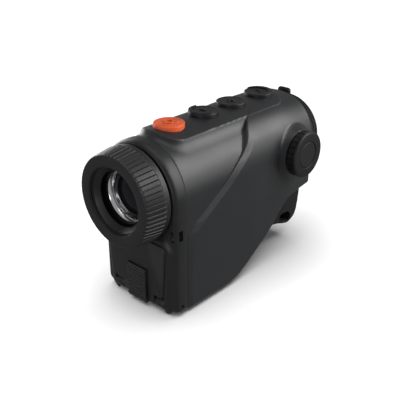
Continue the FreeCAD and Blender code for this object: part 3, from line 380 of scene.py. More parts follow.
def section_radii(y, angles, centre, raised):
    """Distance from the spine to the housing's surface along each angle."""
    def inside(reach):
        x, z = reach * np.cos(angles), centre + reach * np.sin(angles)
        return housing_field(x, y, z, raised) < 0
    return last_inside(inside, np.full(y.shape, NEAREST), np.full(y.shape, FARTHEST), 34)


def housing_radii(y, angles, centre):
    """The rear and front surfaces joined across the crease."""
    rear = section_radii(y, angles, centre, True)
    front = section_radii(y, angles, centre, False)
    z = centre + rear * np.sin(angles)
    edge = crease(z)
    share = step_share(z)
    rise = smoothstep(edge - step_width(z), edge, y) * share
    rise = rise + np.clip((y - edge) / bevel_width(z), 0, 1) * (1 - share)
    return front + (rear - front) * rise


spine = eased([(-40, 50), (10, 50), (60, 62), (100, 62)], 8.0)


def skin_rows(angles):
    """y of every row of the skin along each column; some rows follow the crease."""
    def height(y):
        return spine(y) + section_radii(y, angles, spine(y), True) * np.sin(angles)

    edge = last_inside(lambda y: y < crease(height(y)), np.full(angles.shape, SEAM),
                       np.full(angles.shape, 56.0), 22)
    width = step_width(height(edge))
    start, stop = SEAM + 1.2, REAR - 1.0
    edge = np.maximum(edge, start + 1.7 * width + 0.3)
    rows = [SEAM + gap + 0 * edge for gap in (0, 0.15, 0.35, 0.7)]
    rows += [start + (edge - 1.5 * width - start) * t for t in np.linspace(0, 1, 110)]
    rows += [edge - width * t for t in (1.25, 1.0, 0.85, 0.7, 0.55, 0.4, 0.25, 0.12, 0.0)]
    rows += [edge + (stop - edge) * t for t in np.linspace(0, 1, 150)[1:] ** 1.12]
    rows += [REAR - gap + 0 * edge for gap in (0.8, 0.4, 0.15, 0)]
    return np.stack(rows)


def build_housing():
    """The main shell as one closed skin: outside, rear wall, inside and front rim."""
    columns = 560
    angles = np.linspace(0, 2 * math.pi, columns, endpoint=False)
    y = skin_rows(angles)
    angle = np.broadcast_to(angles, y.shape)
    ends = np.minimum(y - SEAM, REAR - y)
    drop = np.maximum(END_ROUND - ends, 0)
    pull = END_ROUND - np.sqrt(np.maximum(END_ROUND ** 2 - drop ** 2, 0))
    centre = spine(y)
    radii = housing_radii(y, angle, centre) - pull
    points = [np.stack([radii * np.cos(angle), y, centre + radii * np.sin(angle)], axis=2)]

    def ring(y_at, radius, centre_z):
        row = np.stack([radius * np.cos(angles), np.full(columns, y_at),
                        centre_z + radius * np.sin(angles)], axis=1)
        return row[None]

    hole = np.full(columns, TUBE_HOLE)
    last = radii[-1]
    points.append(ring(REAR, (last + hole) / 2, AXIS_Z))
    points.append(ring(REAR, hole, AXIS_Z))
    points.append(ring(REAR - SHELL_WALL, hole, AXIS_Z))
    inner_rows = np.linspace(REAR - SHELL_WALL, SEAM, 26)
    yi, ai = np.meshgrid(inner_rows, angles, indexing="ij")
    ci = spine(yi)
    inner = section_radii(yi, ai, ci, False) - SHELL_WALL
    inner = np.minimum(inner, np.abs((CEILING - ci) / np.maximum(np.sin(ai), 0.02)))
    points.append(np.stack([inner * np.cos(ai), yi, ci + inner * np.sin(ai)], axis=2))
    grid = np.concatenate(points)
    return new_piece("housing_shell", grid.reshape(-1, 3),
                     grid_faces(len(grid), columns, close_rows=True), 30.0)


housing = build_housing()
tools = []
for key, y_at in BUTTONS.items():
    tools.append(lathe("hole_" + key, [(0, 80), (7.98, 80), (7.98, 95), (0, 95)], "z",
                       (0, y_at, 0), 96))
tools.append(block("port_recess", (-30, 3.7, 39.5), (-24.7, 21.3, 50.4)))
tools.append(lathe("shaft_hole", [(0, 20), (4.5, 20), (4.5, 30), (0, 30)], "x",
                   (0, KNOB_Y, AXIS_Z), 48))
combine(housing, tools, smooth=30.0)


# ---------------------------------------------------------------- materials

def node_of(tree, kind, **values):
    """A new node with some inputs or properties set."""
    made = tree.nodes.new(kind)
    for key, value in values.items():
        if key in made.inputs:
            made.inputs[key].default_value = value
        else:
            setattr(made, key, value)
    return made


def object_space(tree):
    """The socket with the object's own coordinates in metres."""
    return node_of(tree, "ShaderNodeTexCoord").outputs["Object"]


def noise(tree, space, size, detail=2.0, rough=0.5):
    """Noise whose blotches are about size millimetres across."""
    made = node_of(tree, "ShaderNodeTexNoise", Scale=1.0 / (size * MM), Detail=detail,
                   Roughness=rough)
    tree.links.new(space, made.inputs["Vector"])
    return made.outputs["Fac"]


def ranged(tree, value, low, high, start=0.3, stop=0.7):
    """Map a 0..1 field from start..stop to low..high."""
    made = node_of(tree, "ShaderNodeMapRange")
    made.inputs["From Min"].default_value = start
    made.inputs["From Max"].default_value = stop
    made.inputs["To Min"].default_value = low
    made.inputs["To Max"].default_value = high
    tree.links.new(value, made.inputs["Value"])
    return made.outputs["Result"]


def blend_colors(tree, factor, first, second):
    """A colour between first and second, by factor."""
    made = node_of(tree, "ShaderNodeMix", data_type="RGBA")
    tree.links.new(factor, made.inputs["Factor"])
    for socket, value in (("A", first), ("B", second)):
        target = [item for item in made.inputs if item.name == socket and item.type == "RGBA"][0]
        if isinstance(value, tuple):
            target.default_value = (*value, 1.0)
        else:
            tree.links.new(value, target)
    return [item for item in made.outputs if item.type == "RGBA"][0]


def bump(tree, height, depth, normal=None):
    """A bump of about depth millimetres."""
    made = node_of(tree, "ShaderNodeBump", Strength=1.0, Distance=depth * MM)
    tree.links.new(height, made.inputs["Height"])
    if normal is not None:
        tree.links.new(normal, made.inputs["Normal"])
    return made.outputs["Normal"]


def start_material(name, **sockets):
    """A material with its uniform values on the shader's own sockets."""
    material = bpy.data.materials.new(name)
    material.use_nodes = True
    tree = material.node_tree
    shader = tree.nodes["Principled BSDF"]
    for key, value in sockets.items():
        shader.inputs[key.replace("_", " ")].default_value = value
    return material, tree, shader


def shade(color, factor):
    """A colour scaled by a factor."""
    return tuple(min(1.0, c * factor) for c in color)


def moulded(name, color, rough, grain=0.3, depth=0.012, mottle=0.18, spread=0.05, edge_wear_and_highlight=0.0,
            **sockets):
    """Moulded plastic or rubber: grain, faint flow marks, uneven gloss; paler edges are part
    wear, part painted highlight.
    """
    material, tree, shader = start_material(name, **sockets)
    space = object_space(tree)
    fine = noise(tree, space, grain, 3.0, 0.6)
    broad = noise(tree, space, 14.0, 3.0, 0.55)
    speck = noise(tree, space, grain * 0.7, 1.0)
    base = blend_colors(tree, broad, shade(color, 1 - mottle), shade(color, 1 + mottle))
    base = blend_colors(tree, ranged(tree, speck, 0.0, 0.35, 0.52, 0.75), base, shade(color, 1.9))
    # convex edges painted paler: partly rubbed wear, partly a painted highlight along the edges
    if edge_wear_and_highlight:
        edge = node_of(tree, "ShaderNodeNewGeometry").outputs["Pointiness"]
        base = blend_colors(tree, ranged(tree, edge, 0.0, edge_wear_and_highlight, 0.53, 0.62), base,
                            shade(color, 4.5))
    tree.links.new(base, shader.inputs["Base Color"])
    gloss = ranged(tree, broad, rough - spread, rough + spread)
    tree.links.new(gloss, shader.inputs["Roughness"])
    normal = bump(tree, fine, depth)
    tree.links.new(bump(tree, broad, 0.05, normal), shader.inputs["Normal"])
    return material


def metal(name, color, rough, axis="Y", centre=(0, 0, 0), pitch=0.25, depth=0.004, tint=0.12,
          **sockets):
    """Machined or pressed metal with turning marks about an axis and faint stains."""
    material, tree, shader = start_material(name, Metallic=1.0, **sockets)
    space = object_space(tree)
    shift = node_of(tree, "ShaderNodeMapping")
    shift.inputs["Location"].default_value = [-c * MM for c in centre]
    tree.links.new(space, shift.inputs["Vector"])
    rings = node_of(tree, "ShaderNodeTexWave", wave_type="RINGS", rings_direction=axis)
    rings.inputs["Scale"].default_value = 0.314 / (pitch * MM)
    rings.inputs["Distortion"].default_value = 0.6
    tree.links.new(shift.outputs["Vector"], rings.inputs["Vector"])
    stain = noise(tree, space, 6.0, 4.0)
    tree.links.new(blend_colors(tree, stain, shade(color, 1 - tint), shade(color, 1 + tint)),
                   shader.inputs["Base Color"])
    tree.links.new(ranged(tree, stain, rough - 0.06, rough + 0.08), shader.inputs["Roughness"])
    fine = bump(tree, noise(tree, space, 0.4, 2.0), depth)
    tree.links.new(bump(tree, rings.outputs["Fac"], depth, fine), shader.inputs["Normal"])
    return material


def glass(name, color, rough, **sockets):
    """A polished element: a faint coating tint that drifts, and slight polishing haze."""
    material, tree, shader = start_material(name, **sockets)
    space = object_space(tree)
    drift = noise(tree, space, 9.0, 2.0)
    tree.links.new(blend_colors(tree, drift, shade(color, 0.8), shade(color, 1.25)),
                   shader.inputs["Base Color"])
    haze = noise(tree, space, 1.2, 3.0)
    tree.links.new(ranged(tree, haze, rough, rough + 0.03), shader.inputs["Roughness"])
    tree.links.new(bump(tree, haze, 0.0008), shader.inputs["Normal"])
    return material


def printed_board(name, color):
    """Solder mask over copper tracks, with a fine weave showing through."""
    material, tree, shader = start_material(name, Specular_IOR_Level=0.5, Coat_Weight=0.4)
    space = object_space(tree)
    brick = node_of(tree, "ShaderNodeTexBrick", Scale=1.0 / (2.2 * MM))
    brick.inputs["Color1"].default_value = (*color, 1)
    brick.inputs["Color2"].default_value = (*shade(color, 1.35), 1)
    brick.inputs["Mortar"].default_value = (*shade(color, 2.4), 1)
    brick.inputs["Mortar Size"].default_value = 0.03
    tree.links.new(space, brick.inputs["Vector"])
    tree.links.new(brick.outputs["Color"], shader.inputs["Base Color"])
    weave = noise(tree, space, 0.35, 2.0)
    tree.links.new(ranged(tree, weave, 0.28, 0.42), shader.inputs["Roughness"])
    tree.links.new(bump(tree, brick.outputs["Fac"], 0.02, bump(tree, weave, 0.01)),
                   shader.inputs["Normal"])
    return material


optics = (0, 0, AXIS_Z)
GRAPHITE = (0.0078, 0.0082, 0.009)
DARK = (0.0066, 0.0068, 0.0072)
MATERIALS = {
    "shell": moulded("shell", GRAPHITE, 0.41, 0.16, 0.004, 0.08, 0.03, 0.25,
                     Specular_IOR_Level=0.30),
    "bezel": moulded("bezel", DARK, 0.42, 0.34, 0.022, 0.12, 0.05, 0.25, Specular_IOR_Level=0.24),
    "ring": moulded("ring", DARK, 0.44, 0.22, 0.006, 0.12, 0.04, 0.12, Specular_IOR_Level=0.24),
    "key_black": moulded("key_black", (0.005, 0.005, 0.0055), 0.46, 0.2, 0.007, 0.15, 0.05, 0.2,
                         Specular_IOR_Level=0.2),
    "key_orange": moulded("key_orange", (0.42, 0.058, 0.011), 0.5, 0.2, 0.006, 0.05, 0.05, 0.0,
                          Specular_IOR_Level=0.3),
    "cup": moulded("cup", (0.005, 0.005, 0.0055), 0.62, 0.28, 0.014, 0.2, 0.07, 0.2,
                   Specular_IOR_Level=0.14),
    "seal": moulded("seal", (0.012, 0.012, 0.012), 0.55, 0.2, 0.006, Specular_IOR_Level=0.3),
    "latch": moulded("latch", DARK, 0.44, 0.26, 0.012, 0.12, 0.05, 0.3, Specular_IOR_Level=0.26),
    "barrel": metal("barrel", (0.028, 0.028, 0.031), 0.38, "Y", optics, 0.3, 0.006),
    "germanium": glass("germanium", (0.003, 0.003, 0.004), 0.05, Specular_IOR_Level=0.16),
    "eye_glass": glass("eye_glass", (0.72, 0.78, 0.84), 0.02, Specular_IOR_Level=0.5,
                       Transmission_Weight=0.9, IOR=1.5),
    "steel": metal("steel", (0.46, 0.46, 0.47), 0.3, "Y", optics, 0.2, 0.003),
    "brass": metal("brass", (0.62, 0.43, 0.17), 0.3, "Z", (0, 0, 0), 0.25, 0.004),
    "contact": metal("contact", (0.75, 0.6, 0.32), 0.24, "Y", (0, 0, BATTERY_Z), 0.3, 0.003),
    "board": printed_board("board", (0.012, 0.075, 0.032)),
    "switch": moulded("switch", (0.02, 0.02, 0.021), 0.4, 0.2, 0.006, Specular_IOR_Level=0.4),
    "flex": moulded("flex", (0.42, 0.19, 0.04), 0.3, 0.5, 0.004, 0.2, Specular_IOR_Level=0.5),
    "shield": metal("shield", (0.5, 0.51, 0.52), 0.34, "Y", optics, 0.5, 0.004),
    "pad": moulded("pad", (0.3, 0.36, 0.46), 0.7, 0.4, 0.02, 0.1, Specular_IOR_Level=0.3),
    "spreader": metal("spreader", (0.56, 0.57, 0.58), 0.36, "X", (0, 0, 48), 0.45, 0.006),
    "display": glass("display", (0.012, 0.013, 0.018), 0.08, Specular_IOR_Level=0.5),
    "battery": moulded("battery", (0.035, 0.12, 0.3), 0.28, 0.5, 0.004, 0.12,
                       Specular_IOR_Level=0.5),
    "battery_tube": moulded("battery_tube", (0.03, 0.03, 0.031), 0.5, 0.3, 0.01,
                            Specular_IOR_Level=0.3),
}
# painted shade: a darker copy of the ring finish, so the knob that faces the key lamp reads as
# shaded
KNOB_PAINTED_SHADE = moulded("knob", (0.0042, 0.0043, 0.0046), 0.44, 0.22, 0.006, 0.12, 0.04, 0.3,
               Specular_IOR_Level=0.18)
# painted shade: a darker copy of the bezel finish, for the shade the body casts on the tail; the
# rear collar also uses it
COVER_PAINTED_SHADE = moulded("cover", (0.0042, 0.0043, 0.0046), 0.48, 0.34, 0.02, 0.12, 0.05, 0.2,
                Specular_IOR_Level=0.14)
SLOTS = {}
for part in frame["record"]["subparts"]:
    SLOTS[part["node"]] = part["material_slot"]
for node_name, thing in frame["nodes"].items():
    thing.data.materials.clear()
    thing.data.materials.append(MATERIALS[SLOTS[node_name]])


def mount(piece, body, slot, *nodes, finish=None):
    """Give a piece its finish, its body and the CAD nodes that it stands for."""
    piece.data.materials.clear()
    piece.data.materials.append(finish or MATERIALS[slot])
    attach(piece, body)
    if nodes:
        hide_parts(*nodes)
    return piece


mount(housing, "housing", "shell", "housing")


# ---------------------------------------------------------------- outlines

def grow(outline, amount):
    """An outline moved outwards by amount along its corner normals."""
    points = np.array(outline, float)
    ahead = np.roll(points, -1, axis=0) - points
    normal = np.stack([ahead[:, 1], -ahead[:, 0]], axis=1)
    normal /= np.maximum(np.linalg.norm(normal, axis=1, keepdims=True), 1e-9)
    turn = np.sum(points[:, 0] * np.roll(points[:, 1], -1)
                  - points[:, 1] * np.roll(points[:, 0], -1))
    if turn < 0:
        normal = -normal
    corner = normal + np.roll(normal, 1, axis=0)
    corner /= np.maximum(np.linalg.norm(corner, axis=1, keepdims=True), 1e-9)
    share = np.clip(np.sum(corner * normal, axis=1, keepdims=True), 0.5, 1.0)
    return [tuple(p) for p in points + corner / share * amount]


def loft(name, rows, smooth=35.0):
    """A closed solid through rows of points with the same count, capped at both ends."""
    grid = np.array(rows, float)
    count = grid.shape[1]
    faces = grid_faces(len(rows), count)
    last = (len(rows) - 1) * count
    faces.append(tuple(range(count)))
    faces.append(tuple(range(last + count - 1, last - 1, -1)))
    return new_piece(name, grid.reshape(-1, 3), faces, smooth)


def layered(name, outline, layers, smooth=35.0):
    """A solid from one (x, z) outline placed at several (y, growth) layers."""
    rows = []
    for y, amount in layers:
        rows.append([(u, y, w) for u, w in grow(outline, amount)])
    return loft(name, rows, smooth)


def mirrored(right):
    """An outline from its right half, listed from bottom to top."""
    return list(right) + [(-u, w) for u, w in reversed(right)]


def cylinder(name, radius, axis, start, end, centre=(0, 0, 0), segments=96):
    """A plain round cutting tool."""
    return lathe(name, [(0, start), (radius, start), (radius, end), (0, end)], axis,
                 centre, segments)


# ---------------------------------------------------------------- front bezel

PIN_Y, PIN_Z = -28.0, 4.6
LUG_OUT, LUG_IN = 18.4, 11.55
DOOR_TOP = [(17.8, 8.6), (20.2, 36.6), (17.8, 39.0)]
RIM_FRONT = -31.0
KNUCKLE = 3.4  # radius of the door's knuckle and the bezel's lugs round the pin


def bezel_bottom(y):
    """The bezel's lower line, which rises towards the front."""
    return np.interp(y, [-31.2, -29.6, -28.4, -26.4, -21], [3.6, 2.3, 1.6, BELLY, BELLY])


def build_bezel():
    """The dark front frame: arch, door surround, door recess, lugs and strap slots."""
    layers = [(SEAM, 0.6), (-21.62, 0.32), (-21.9, 0.1), (-22.4, 0.0), (-24.5, -0.03),
              (-26.4, 0.0), (-27.6, 0.16), (-28.4, 0.42), (-29.0, 0.8), (-29.4, 1.25),
              (-29.6, 1.9)]
    columns, middle_z, half = 360, 40, 25.95
    angles = np.linspace(0, 2 * math.pi, columns, endpoint=False)
    rows = []
    for y, inset in layers:
        def inside(reach):
            x, z = reach * np.cos(angles), middle_z + reach * np.sin(angles)
            body = arch_field(x, z, half - inset, half - inset, 2.0)
            return smooth_max(body, bezel_bottom(y) + inset * 0.6 - z, 3.4) < 0
        reach = last_inside(inside, np.full(columns, NEAREST), np.full(columns, FARTHEST), 30)
        rows.append(np.stack([reach * np.cos(angles), np.full(columns, y),
                              middle_z + reach * np.sin(angles)], axis=1))
    bezel = loft("front_bezel_skin", rows, 30.0)
    rim = soften(mirrored([(19.6, 2.6), (21.9, 37.4), (18.9, 40.9)]), 3.2, 6)
    rim = layered("rim", rim, [(-28.6, 3.4), (-29.5, 3.1), (-30.0, 1.9), (-30.45, 1.0),
                               (-30.8, 0.4), (RIM_FRONT, -0.3)])
    combine(bezel, [rim], "UNION", 30.0)
    door_room = layered("door_room", soften(mirrored(DOOR_TOP), 2.6, 5),
                        [(-40, 0.25), (-27.25, 0.25)])
    lintel = cylinder("lintel", 24.75, "y", -41, -26, (0, 0, AXIS_Z), 180)
    combine(door_room, [lintel])
    pin = (0, PIN_Y, PIN_Z)
    cuts = [
        door_room,
        block("swept", (-18.15, -40, -2), (18.15, PIN_Y + 0.55, 9.7)),
        cylinder("barrel_hole", 17.25, "y", -40, -20, (0, 0, AXIS_Z), 160),
        cylinder("battery_hole", 10.2, "y", -40, -20, (0, 0, BATTERY_Z)),
        cylinder("ring_room", 24.9, "y", -40, -30.2, (0, 0, AXIS_Z), 180),
        cylinder("knuckle_room", 3.85, "x", -11.55, 11.55, pin, 64),
        cylinder("tab_room", 6.4, "x", -7.15, 7.15, pin, 64),
        block("knuckle_front", (-11.55, -40, -2), (11.55, PIN_Y, 9.6)),
    ]
    for side in (-1, 1):
        for z in (13, 34.6):
            cuts.append(cylinder("sink_%d_%d" % (side, z), 2.05, "y", -30, -25.75,
                                 (16.5 * side, 0, z), 40))
        low, high = span(side, 22.4, 30)
        cuts.append(block("slot_side_%d" % side, (low, -27.3, 43), (high, -24.7, 48.6), 0.3))
        low, high = span(side, 22.4, 24.6)
        cuts.append(block("slot_front_%d" % side, (low, -31, 43), (high, -24.7, 48.6), 0.3))
        low, high = span(side, 25.2, 27)
        cuts.append(cylinder("gate_%d" % side, 0.9, "x", low, high, (0, -25.6, 5.6), 32))
    combine(bezel, cuts, smooth=30.0)
    lugs = []
    for side in (-1, 1):
        low, high = span(side, LUG_IN, LUG_OUT)
        outline = arc(PIN_Y, PIN_Z, KNUCKLE, 90, 270, 17) + [(-26.2, 1.2), (-26.2, 8.0)]
        lugs.append(prism("lug_%d" % side, outline, "x", low, high, 0.35))
    combine(bezel, lugs, "UNION", 30.0)
    holes = [cylinder("pin_hole", 1.12, "x", -20, 20, pin, 32)]
    return combine(bezel, holes, smooth=30.0)


bezel = mount(build_bezel(), "housing", "bezel", "front_bezel")


# ---------------------------------------------------------------- battery door and latch

def build_door():
    """The door panel, its knuckle round the pin, and the channel that the latch slides in."""
    panel = layered("battery_door_panel", soften(mirrored(DOOR_TOP), 2.6, 5), [
        (-27.4, -0.4), (-27.6, 0.0), (-31.05, 0.0), (-31.3, -0.12), (-31.45, -0.35),
        (-31.5, -0.7)])
    curve = arc(PIN_Y, PIN_Z, KNUCKLE, 180, 300, 15)
    neck = prism("neck", [(-31.4, 9.6)] + curve + [(-26.3, 4.6), (-27.4, 7.6), (-27.4, 9.6)],
                 "x", -11.3, 11.3, 0.3)
    combine(panel, [neck, cylinder("plug", 9.2, "y", -28.4, -26.5, (0, 0, BATTERY_Z))], "UNION")
    cuts = [
        cylinder("notch", 25.0, "y", -41, -20, (0, 0, AXIS_Z), 200),
        cylinder("pin_way", 1.15, "x", -20, 20, (0, PIN_Y, PIN_Z), 32),
        block("tab_channel", (-6.95, -40, -1), (6.95, -30.6, 21.95)),
        block("slide_window", (-4.15, -31, 9.5), (4.15, -28.9, 21.6)),
        cylinder("seat", 6.15, "y", -27.3, -25, (0, 0, BATTERY_Z)),
    ]
    return combine(panel, cuts)


mount(build_door(), "battery_door", "bezel", "battery_door")


def build_latch():
    """The ribbed slide: nine rounded bars across a flat tab, with the tongue behind it."""
    low, high = LATCH_LOW[2], 21.6
    front, base, back = LATCH_LOW[1], LATCH_LOW[1] + 0.55, -30.8
    count = 9
    pitch = (high - low - 1.2) / count
    side = [(back, low), (base, low)]
    for i in range(count):
        z = low + 0.6 + pitch * i
        side += [(base, z + pitch * 0.16), (front + 0.12, z + pitch * 0.3),
                 (front, z + pitch * 0.42), (front, z + pitch * 0.62),
                 (front + 0.12, z + pitch * 0.74), (base, z + pitch * 0.88)]
    side += [(base, high), (back, high)]
    tab = prism("door_latch_tab", side, "x", -6.75, 6.75, 0.12, 1, smooth=25.0)
    clear = cylinder("clear", 3.55, "x", -20, 20, (0, PIN_Y, PIN_Z), 64)
    combine(tab, [clear], smooth=25.0)
    slide = block("slide", (-4, -28.88, 12), (4, -28.1, AXIS_Z - 23.9), 0.15)
    link = block("link", (-4, -31.2, 12), (4, -28.4, 20))
    return combine(tab, [slide, link], "UNION", 25.0)


mount(build_latch(), "door_latch", "latch", "door_latch")


# ---------------------------------------------------------------- focus ring and lens

RIBS = 60
TEETH_FADE, TEETH_REAR = -34.6, -32.9  # y where the ribs start to fade, and where they end


def ring_teeth(angles, radius, along):
    """Saw-tooth ribs that stand highest at the front and fade out before the rear band."""
    fade = 1 - smoothstep(TEETH_FADE, TEETH_REAR, along)
    if radius < 22.0 or along > TEETH_REAR or along < -44.99:
        return 0 * angles
    phase = (angles * RIBS / (2 * math.pi)) % 1.0
    slope = np.clip(phase / 0.8, 0, 1)
    tooth = 0.2 * slope * (1 - smoothstep(0.8, 0.9, phase)) - 0.3 * smoothstep(0.8, 0.88, phase)
    lead = 0.25 + 0.75 * smoothstep(-45.0, -44.0, along)
    return (0.5 + tooth * lead) * fade


def build_ring():
    """The knurled ring with its flat front annulus and stepped, conical mouth."""
    front, rear = RING_LOW[1], RING_HIGH[1]
    outer = [(22.05, front), (22.35, front + 0.06), (22.55, front + 0.22), (22.62, front + 0.5)]
    for y in np.arange(front + 1.0, -33.0, 0.5):
        outer.append((22.62 + (y - front) * 0.142, y))
    outer += [(24.45, -32.2), (24.55, -31.6), (24.5, -31.1), (24.25, -30.75), (23.8, rear)]
    inner = [(17.2, rear), (17.2, -40.1), (14.3, -40.1), (14.1, -40.2), (14.1, -40.4),
             (14.5, -40.9), (15.3, -41.8), (16.0, -42.5), (16.45, -42.9), (16.55, -43.2),
             (16.95, -43.25), (17.05, -43.5), (17.1, -44.2), (17.25, -44.3), (17.3, -44.6),
             (17.45, -44.9), (17.8, front)]
    return lathe("focus_ring_body", outer + inner, "y", (0, 0, AXIS_Z), RIBS * 12, ring_teeth,
                 22.0)


mount(build_ring(), "focus_ring", "ring", "focus_ring")

LENS_FRONT, LENS_CURVE = -36.2, 34.0  # y of the glass on the axis, and its radius of curvature
centre = (0, 0, AXIS_Z)
lens_profile = [(0, -32.8), (11.9, -32.8), (12.0, -33.0)]
for r in np.linspace(11.9, 0, 24):
    lens_profile.append((r, LENS_FRONT + LENS_CURVE - math.sqrt(LENS_CURVE ** 2 - r * r)))
front_lens = lathe("objective_front_glass", lens_profile, "y", centre, 128)
mount(front_lens, "objective_cell", "germanium", "objective_front_lens")

retainer = [(12.95, -34.2), (12.95, -36.85), (12.8, -37.0), (12.5, -37.0), (12.35, -36.85)]
retainer += [(12.35 - 1.25 * t, -36.85 + 2.1 * t - 0.2 * math.sin(math.pi * t))
             for t in np.linspace(0.05, 1, 10)]
retainer += [(11.0, -34.6), (11.1, -34.2), (12.3, -34.1)]
bright = metal("polished_bevel", (0.85, 0.85, 0.86), 0.17, "Y", optics, 0.4, 0.0006, 0.03)
lens_ring = lathe("objective_retainer", retainer, "y", centre, 128)
mount(lens_ring, "objective_cell", "barrel", "objective_retaining_ring", finish=bright)


# ---------------------------------------------------------------- buttons

CAP_TOP = BUTTON_HIGH[2] - 0.55


def build_cap(key, y, ridges):
    """A round key with a soft shoulder, and fine rings on its top if ridges is set."""
    low = BUTTON_LOW[2]
    side = [(0, low), (8.8, low), (8.8, 87.4), (7.85, 87.4), (7.85, CAP_TOP - 0.7),
            (7.8, CAP_TOP - 0.4), (7.62, CAP_TOP - 0.15), (7.3, CAP_TOP)]
    if ridges:
        for i, r in enumerate(np.arange(7.0, 3.2, -0.26)):
            side.append((r, CAP_TOP - 0.04 - (0.09 if i % 2 else 0.0)))
    else:
        side += [(7.05, CAP_TOP - 0.02), (6.6, CAP_TOP - 0.14), (5.0, CAP_TOP - 0.2)]
    side += [(3.0, CAP_TOP - 0.16), (0, CAP_TOP - 0.18)]
    return lathe(key + "_cap", side, "z", (0, y, 0), 128, smooth=30.0)


def raised(name, outline, y, top):
    """A raised mark on a key."""
    shifted = [(u, v + y) for u, v in outline]
    return prism(name, shifted, "z", CAP_TOP - 0.5, top, 0.16, 2)


def arc_band(radius, width, start, end, steps=28):
    """The outline of a bent bar."""
    outer = arc(0, 0, radius + width / 2, start, end, steps)
    return outer + arc(0, 0, radius - width / 2, end, start, steps)


def crescent(direction):
    """A thin moon along one side of a key; direction in degrees."""
    outer, inner, shift = 7.55, 7.3, 1.9
    cosine = (inner ** 2 - outer ** 2 - shift ** 2) / (2 * outer * shift)
    reach = math.degrees(math.acos(cosine)) - 4
    points = arc(0, 0, outer, -reach, reach, 48)
    half = math.degrees(math.atan2(points[-1][1], points[-1][0] + shift))
    points += arc(-shift, 0, inner, half - 3, 3 - half, 48)
    turn = math.radians(direction)
    return [(u * math.cos(turn) - v * math.sin(turn), u * math.sin(turn) + v * math.cos(turn))
            for u, v in points]


def bar(length, width, angle=0.0, dx=0.0, dy=0.0):
    """A straight mark."""
    turn = math.radians(angle)
    out = []
    for u, v in ((-1, -1), (1, -1), (1, 1), (-1, 1)):
        p, q = u * length / 2, v * width / 2
        out.append((dx + p * math.cos(turn) - q * math.sin(turn),
                    dy + p * math.sin(turn) + q * math.cos(turn)))
    return out


MARK_TOP = BUTTON_HIGH[2] - 0.12
MARKS = {
    "button_power": [arc_band(2.2, 0.85, -60, 240), bar(2.4, 0.85, 90, 0, -1.9)],
    "button_zoom": [bar(4.2, 1.0)],
    "button_palette": [bar(4.6, 1.0), bar(4.6, 1.0, 90)],
    "button_capture": [bar(3.6, 1.0, 0, -0.4, 0.6), bar(1.0, 2.0, 0, 1.9, -0.6)],
}
CRESCENTS = {"button_zoom": -100.0, "button_capture": 80.0}
for key, y_at in BUTTONS.items():
    finish = "key_orange" if key == "button_power" else "key_black"
    mount(build_cap(key, y_at, key == "button_power"), key, finish, key)
    for number, outline in enumerate(MARKS[key]):
        mount(raised("%s_mark_%d" % (key, number), outline, y_at, MARK_TOP), key, finish)
    if key in CRESCENTS:
        moon = raised(key + "_moon", crescent(CRESCENTS[key]), y_at, BUTTON_HIGH[2])
        mount(moon, key, finish)


# ---------------------------------------------------------------- diopter knob

KNOB_RIBS = 24


def knob_ribs(angles, radius, along):
    """Wide flat ribs with narrow grooves on the knob's back half."""
    if radius < 11.0 or along < 29.25 or along > 32.5:
        return 0 * angles
    phase = (angles * KNOB_RIBS / (2 * math.pi)) % 1.0
    return -0.5 * smoothstep(0.78, 0.86, phase) * (1 - smoothstep(0.92, 1.0, phase))


knob_back, knob_face = KNOB_LOW[0], KNOB_HIGH[0]
knob_centre = (0, KNOB_Y, AXIS_Z)
knob_profile = [(2.6, knob_back), (11.4, knob_back), (12.3, 28.95), (12.65, 29.2)]
knob_profile += [(12.7, x) for x in np.arange(29.3, 32.55, 0.2)]
knob_profile += [(12.6, 32.6), (12.35, 32.66), (12.35, 32.74), (12.7, 32.8), (12.9, 33.0),
                 (12.95, 33.3), (12.85, 33.7), (12.5, 34.05), (11.9, 34.25), (11.2, knob_face),
                 (7.75, knob_face), (7.55, 34.2), (7.45, 34.0), (7.45, 33.3), (2.6, 33.3)]
knob = lathe("diopter_knob_grip", knob_profile, "x", knob_centre, KNOB_RIBS * 16, knob_ribs,
             25.0)
# the knob takes the darker painted-shade copy of the ring finish
mount(knob, "diopter", "ring", "diopter_knob", finish=KNOB_PAINTED_SHADE)
cap_profile = [(0, 33.4), (7.25, 33.4), (7.25, 33.8), (7.15, 34.0), (6.9, 34.12), (6.3, 34.1),
               (0, 34.02)]
mount(lathe("diopter_cap", cap_profile, "x", knob_centre, 96, smooth=25.0), "diopter",
      "key_black", "knob_cap")


# ---------------------------------------------------------------- rear ring and eyecup

rear_profile = [(16.1, REAR + 0.02), (24.3, REAR + 0.02), (24.6, 82.5), (24.55, 84.4),
                (24.3, 84.5), (24.3, 84.7), (24.45, 84.8), (24.1, 86.1), (23.8, REAR_HIGH[1]),
                (16.1, REAR_HIGH[1])]
collar = lathe("rear_collar", rear_profile, "y", centre, 160)
# the collar takes the darker painted-shade copy of the bezel finish
mount(collar, "housing", "bezel", "rear_ring", finish=COVER_PAINTED_SHADE)


def build_cup():
    """The soft eyecup: grooved flange, rolled lip and thumb tab."""
    start, end = CUP_LOW[1], CUP_HIGH[1]
    profile = [(16.5, start), (21.6, start), (22.3, 86.8), (22.6, 87.4), (22.6, 88.2),
               (22.2, 88.4), (22.2, 88.7), (22.6, 88.9), (22.6, 89.8), (22.2, 90.0),
               (22.2, 90.3), (22.55, 90.5), (22.4, 91.2), (21.9, 91.7), (21.5, 92.6),
               (21.2, 93.8), (20.6, 94.6), (19.8, end), (18.9, 94.8), (17.6, 93.6),
               (15.8, 91.6), (14.2, 90.0), (13.4, 89.1), (13.4, 87.6), (14.2, start)]
    cup = lathe("eyecup_rubber", profile, "y", centre, 160, smooth=30.0)
    tab = block("cup_tab", (-4.2, 86.1, 80), (4.2, 89.8, CUP_HIGH[2]), 1.8, 5)
    return combine(cup, [tab], "UNION", 30.0)


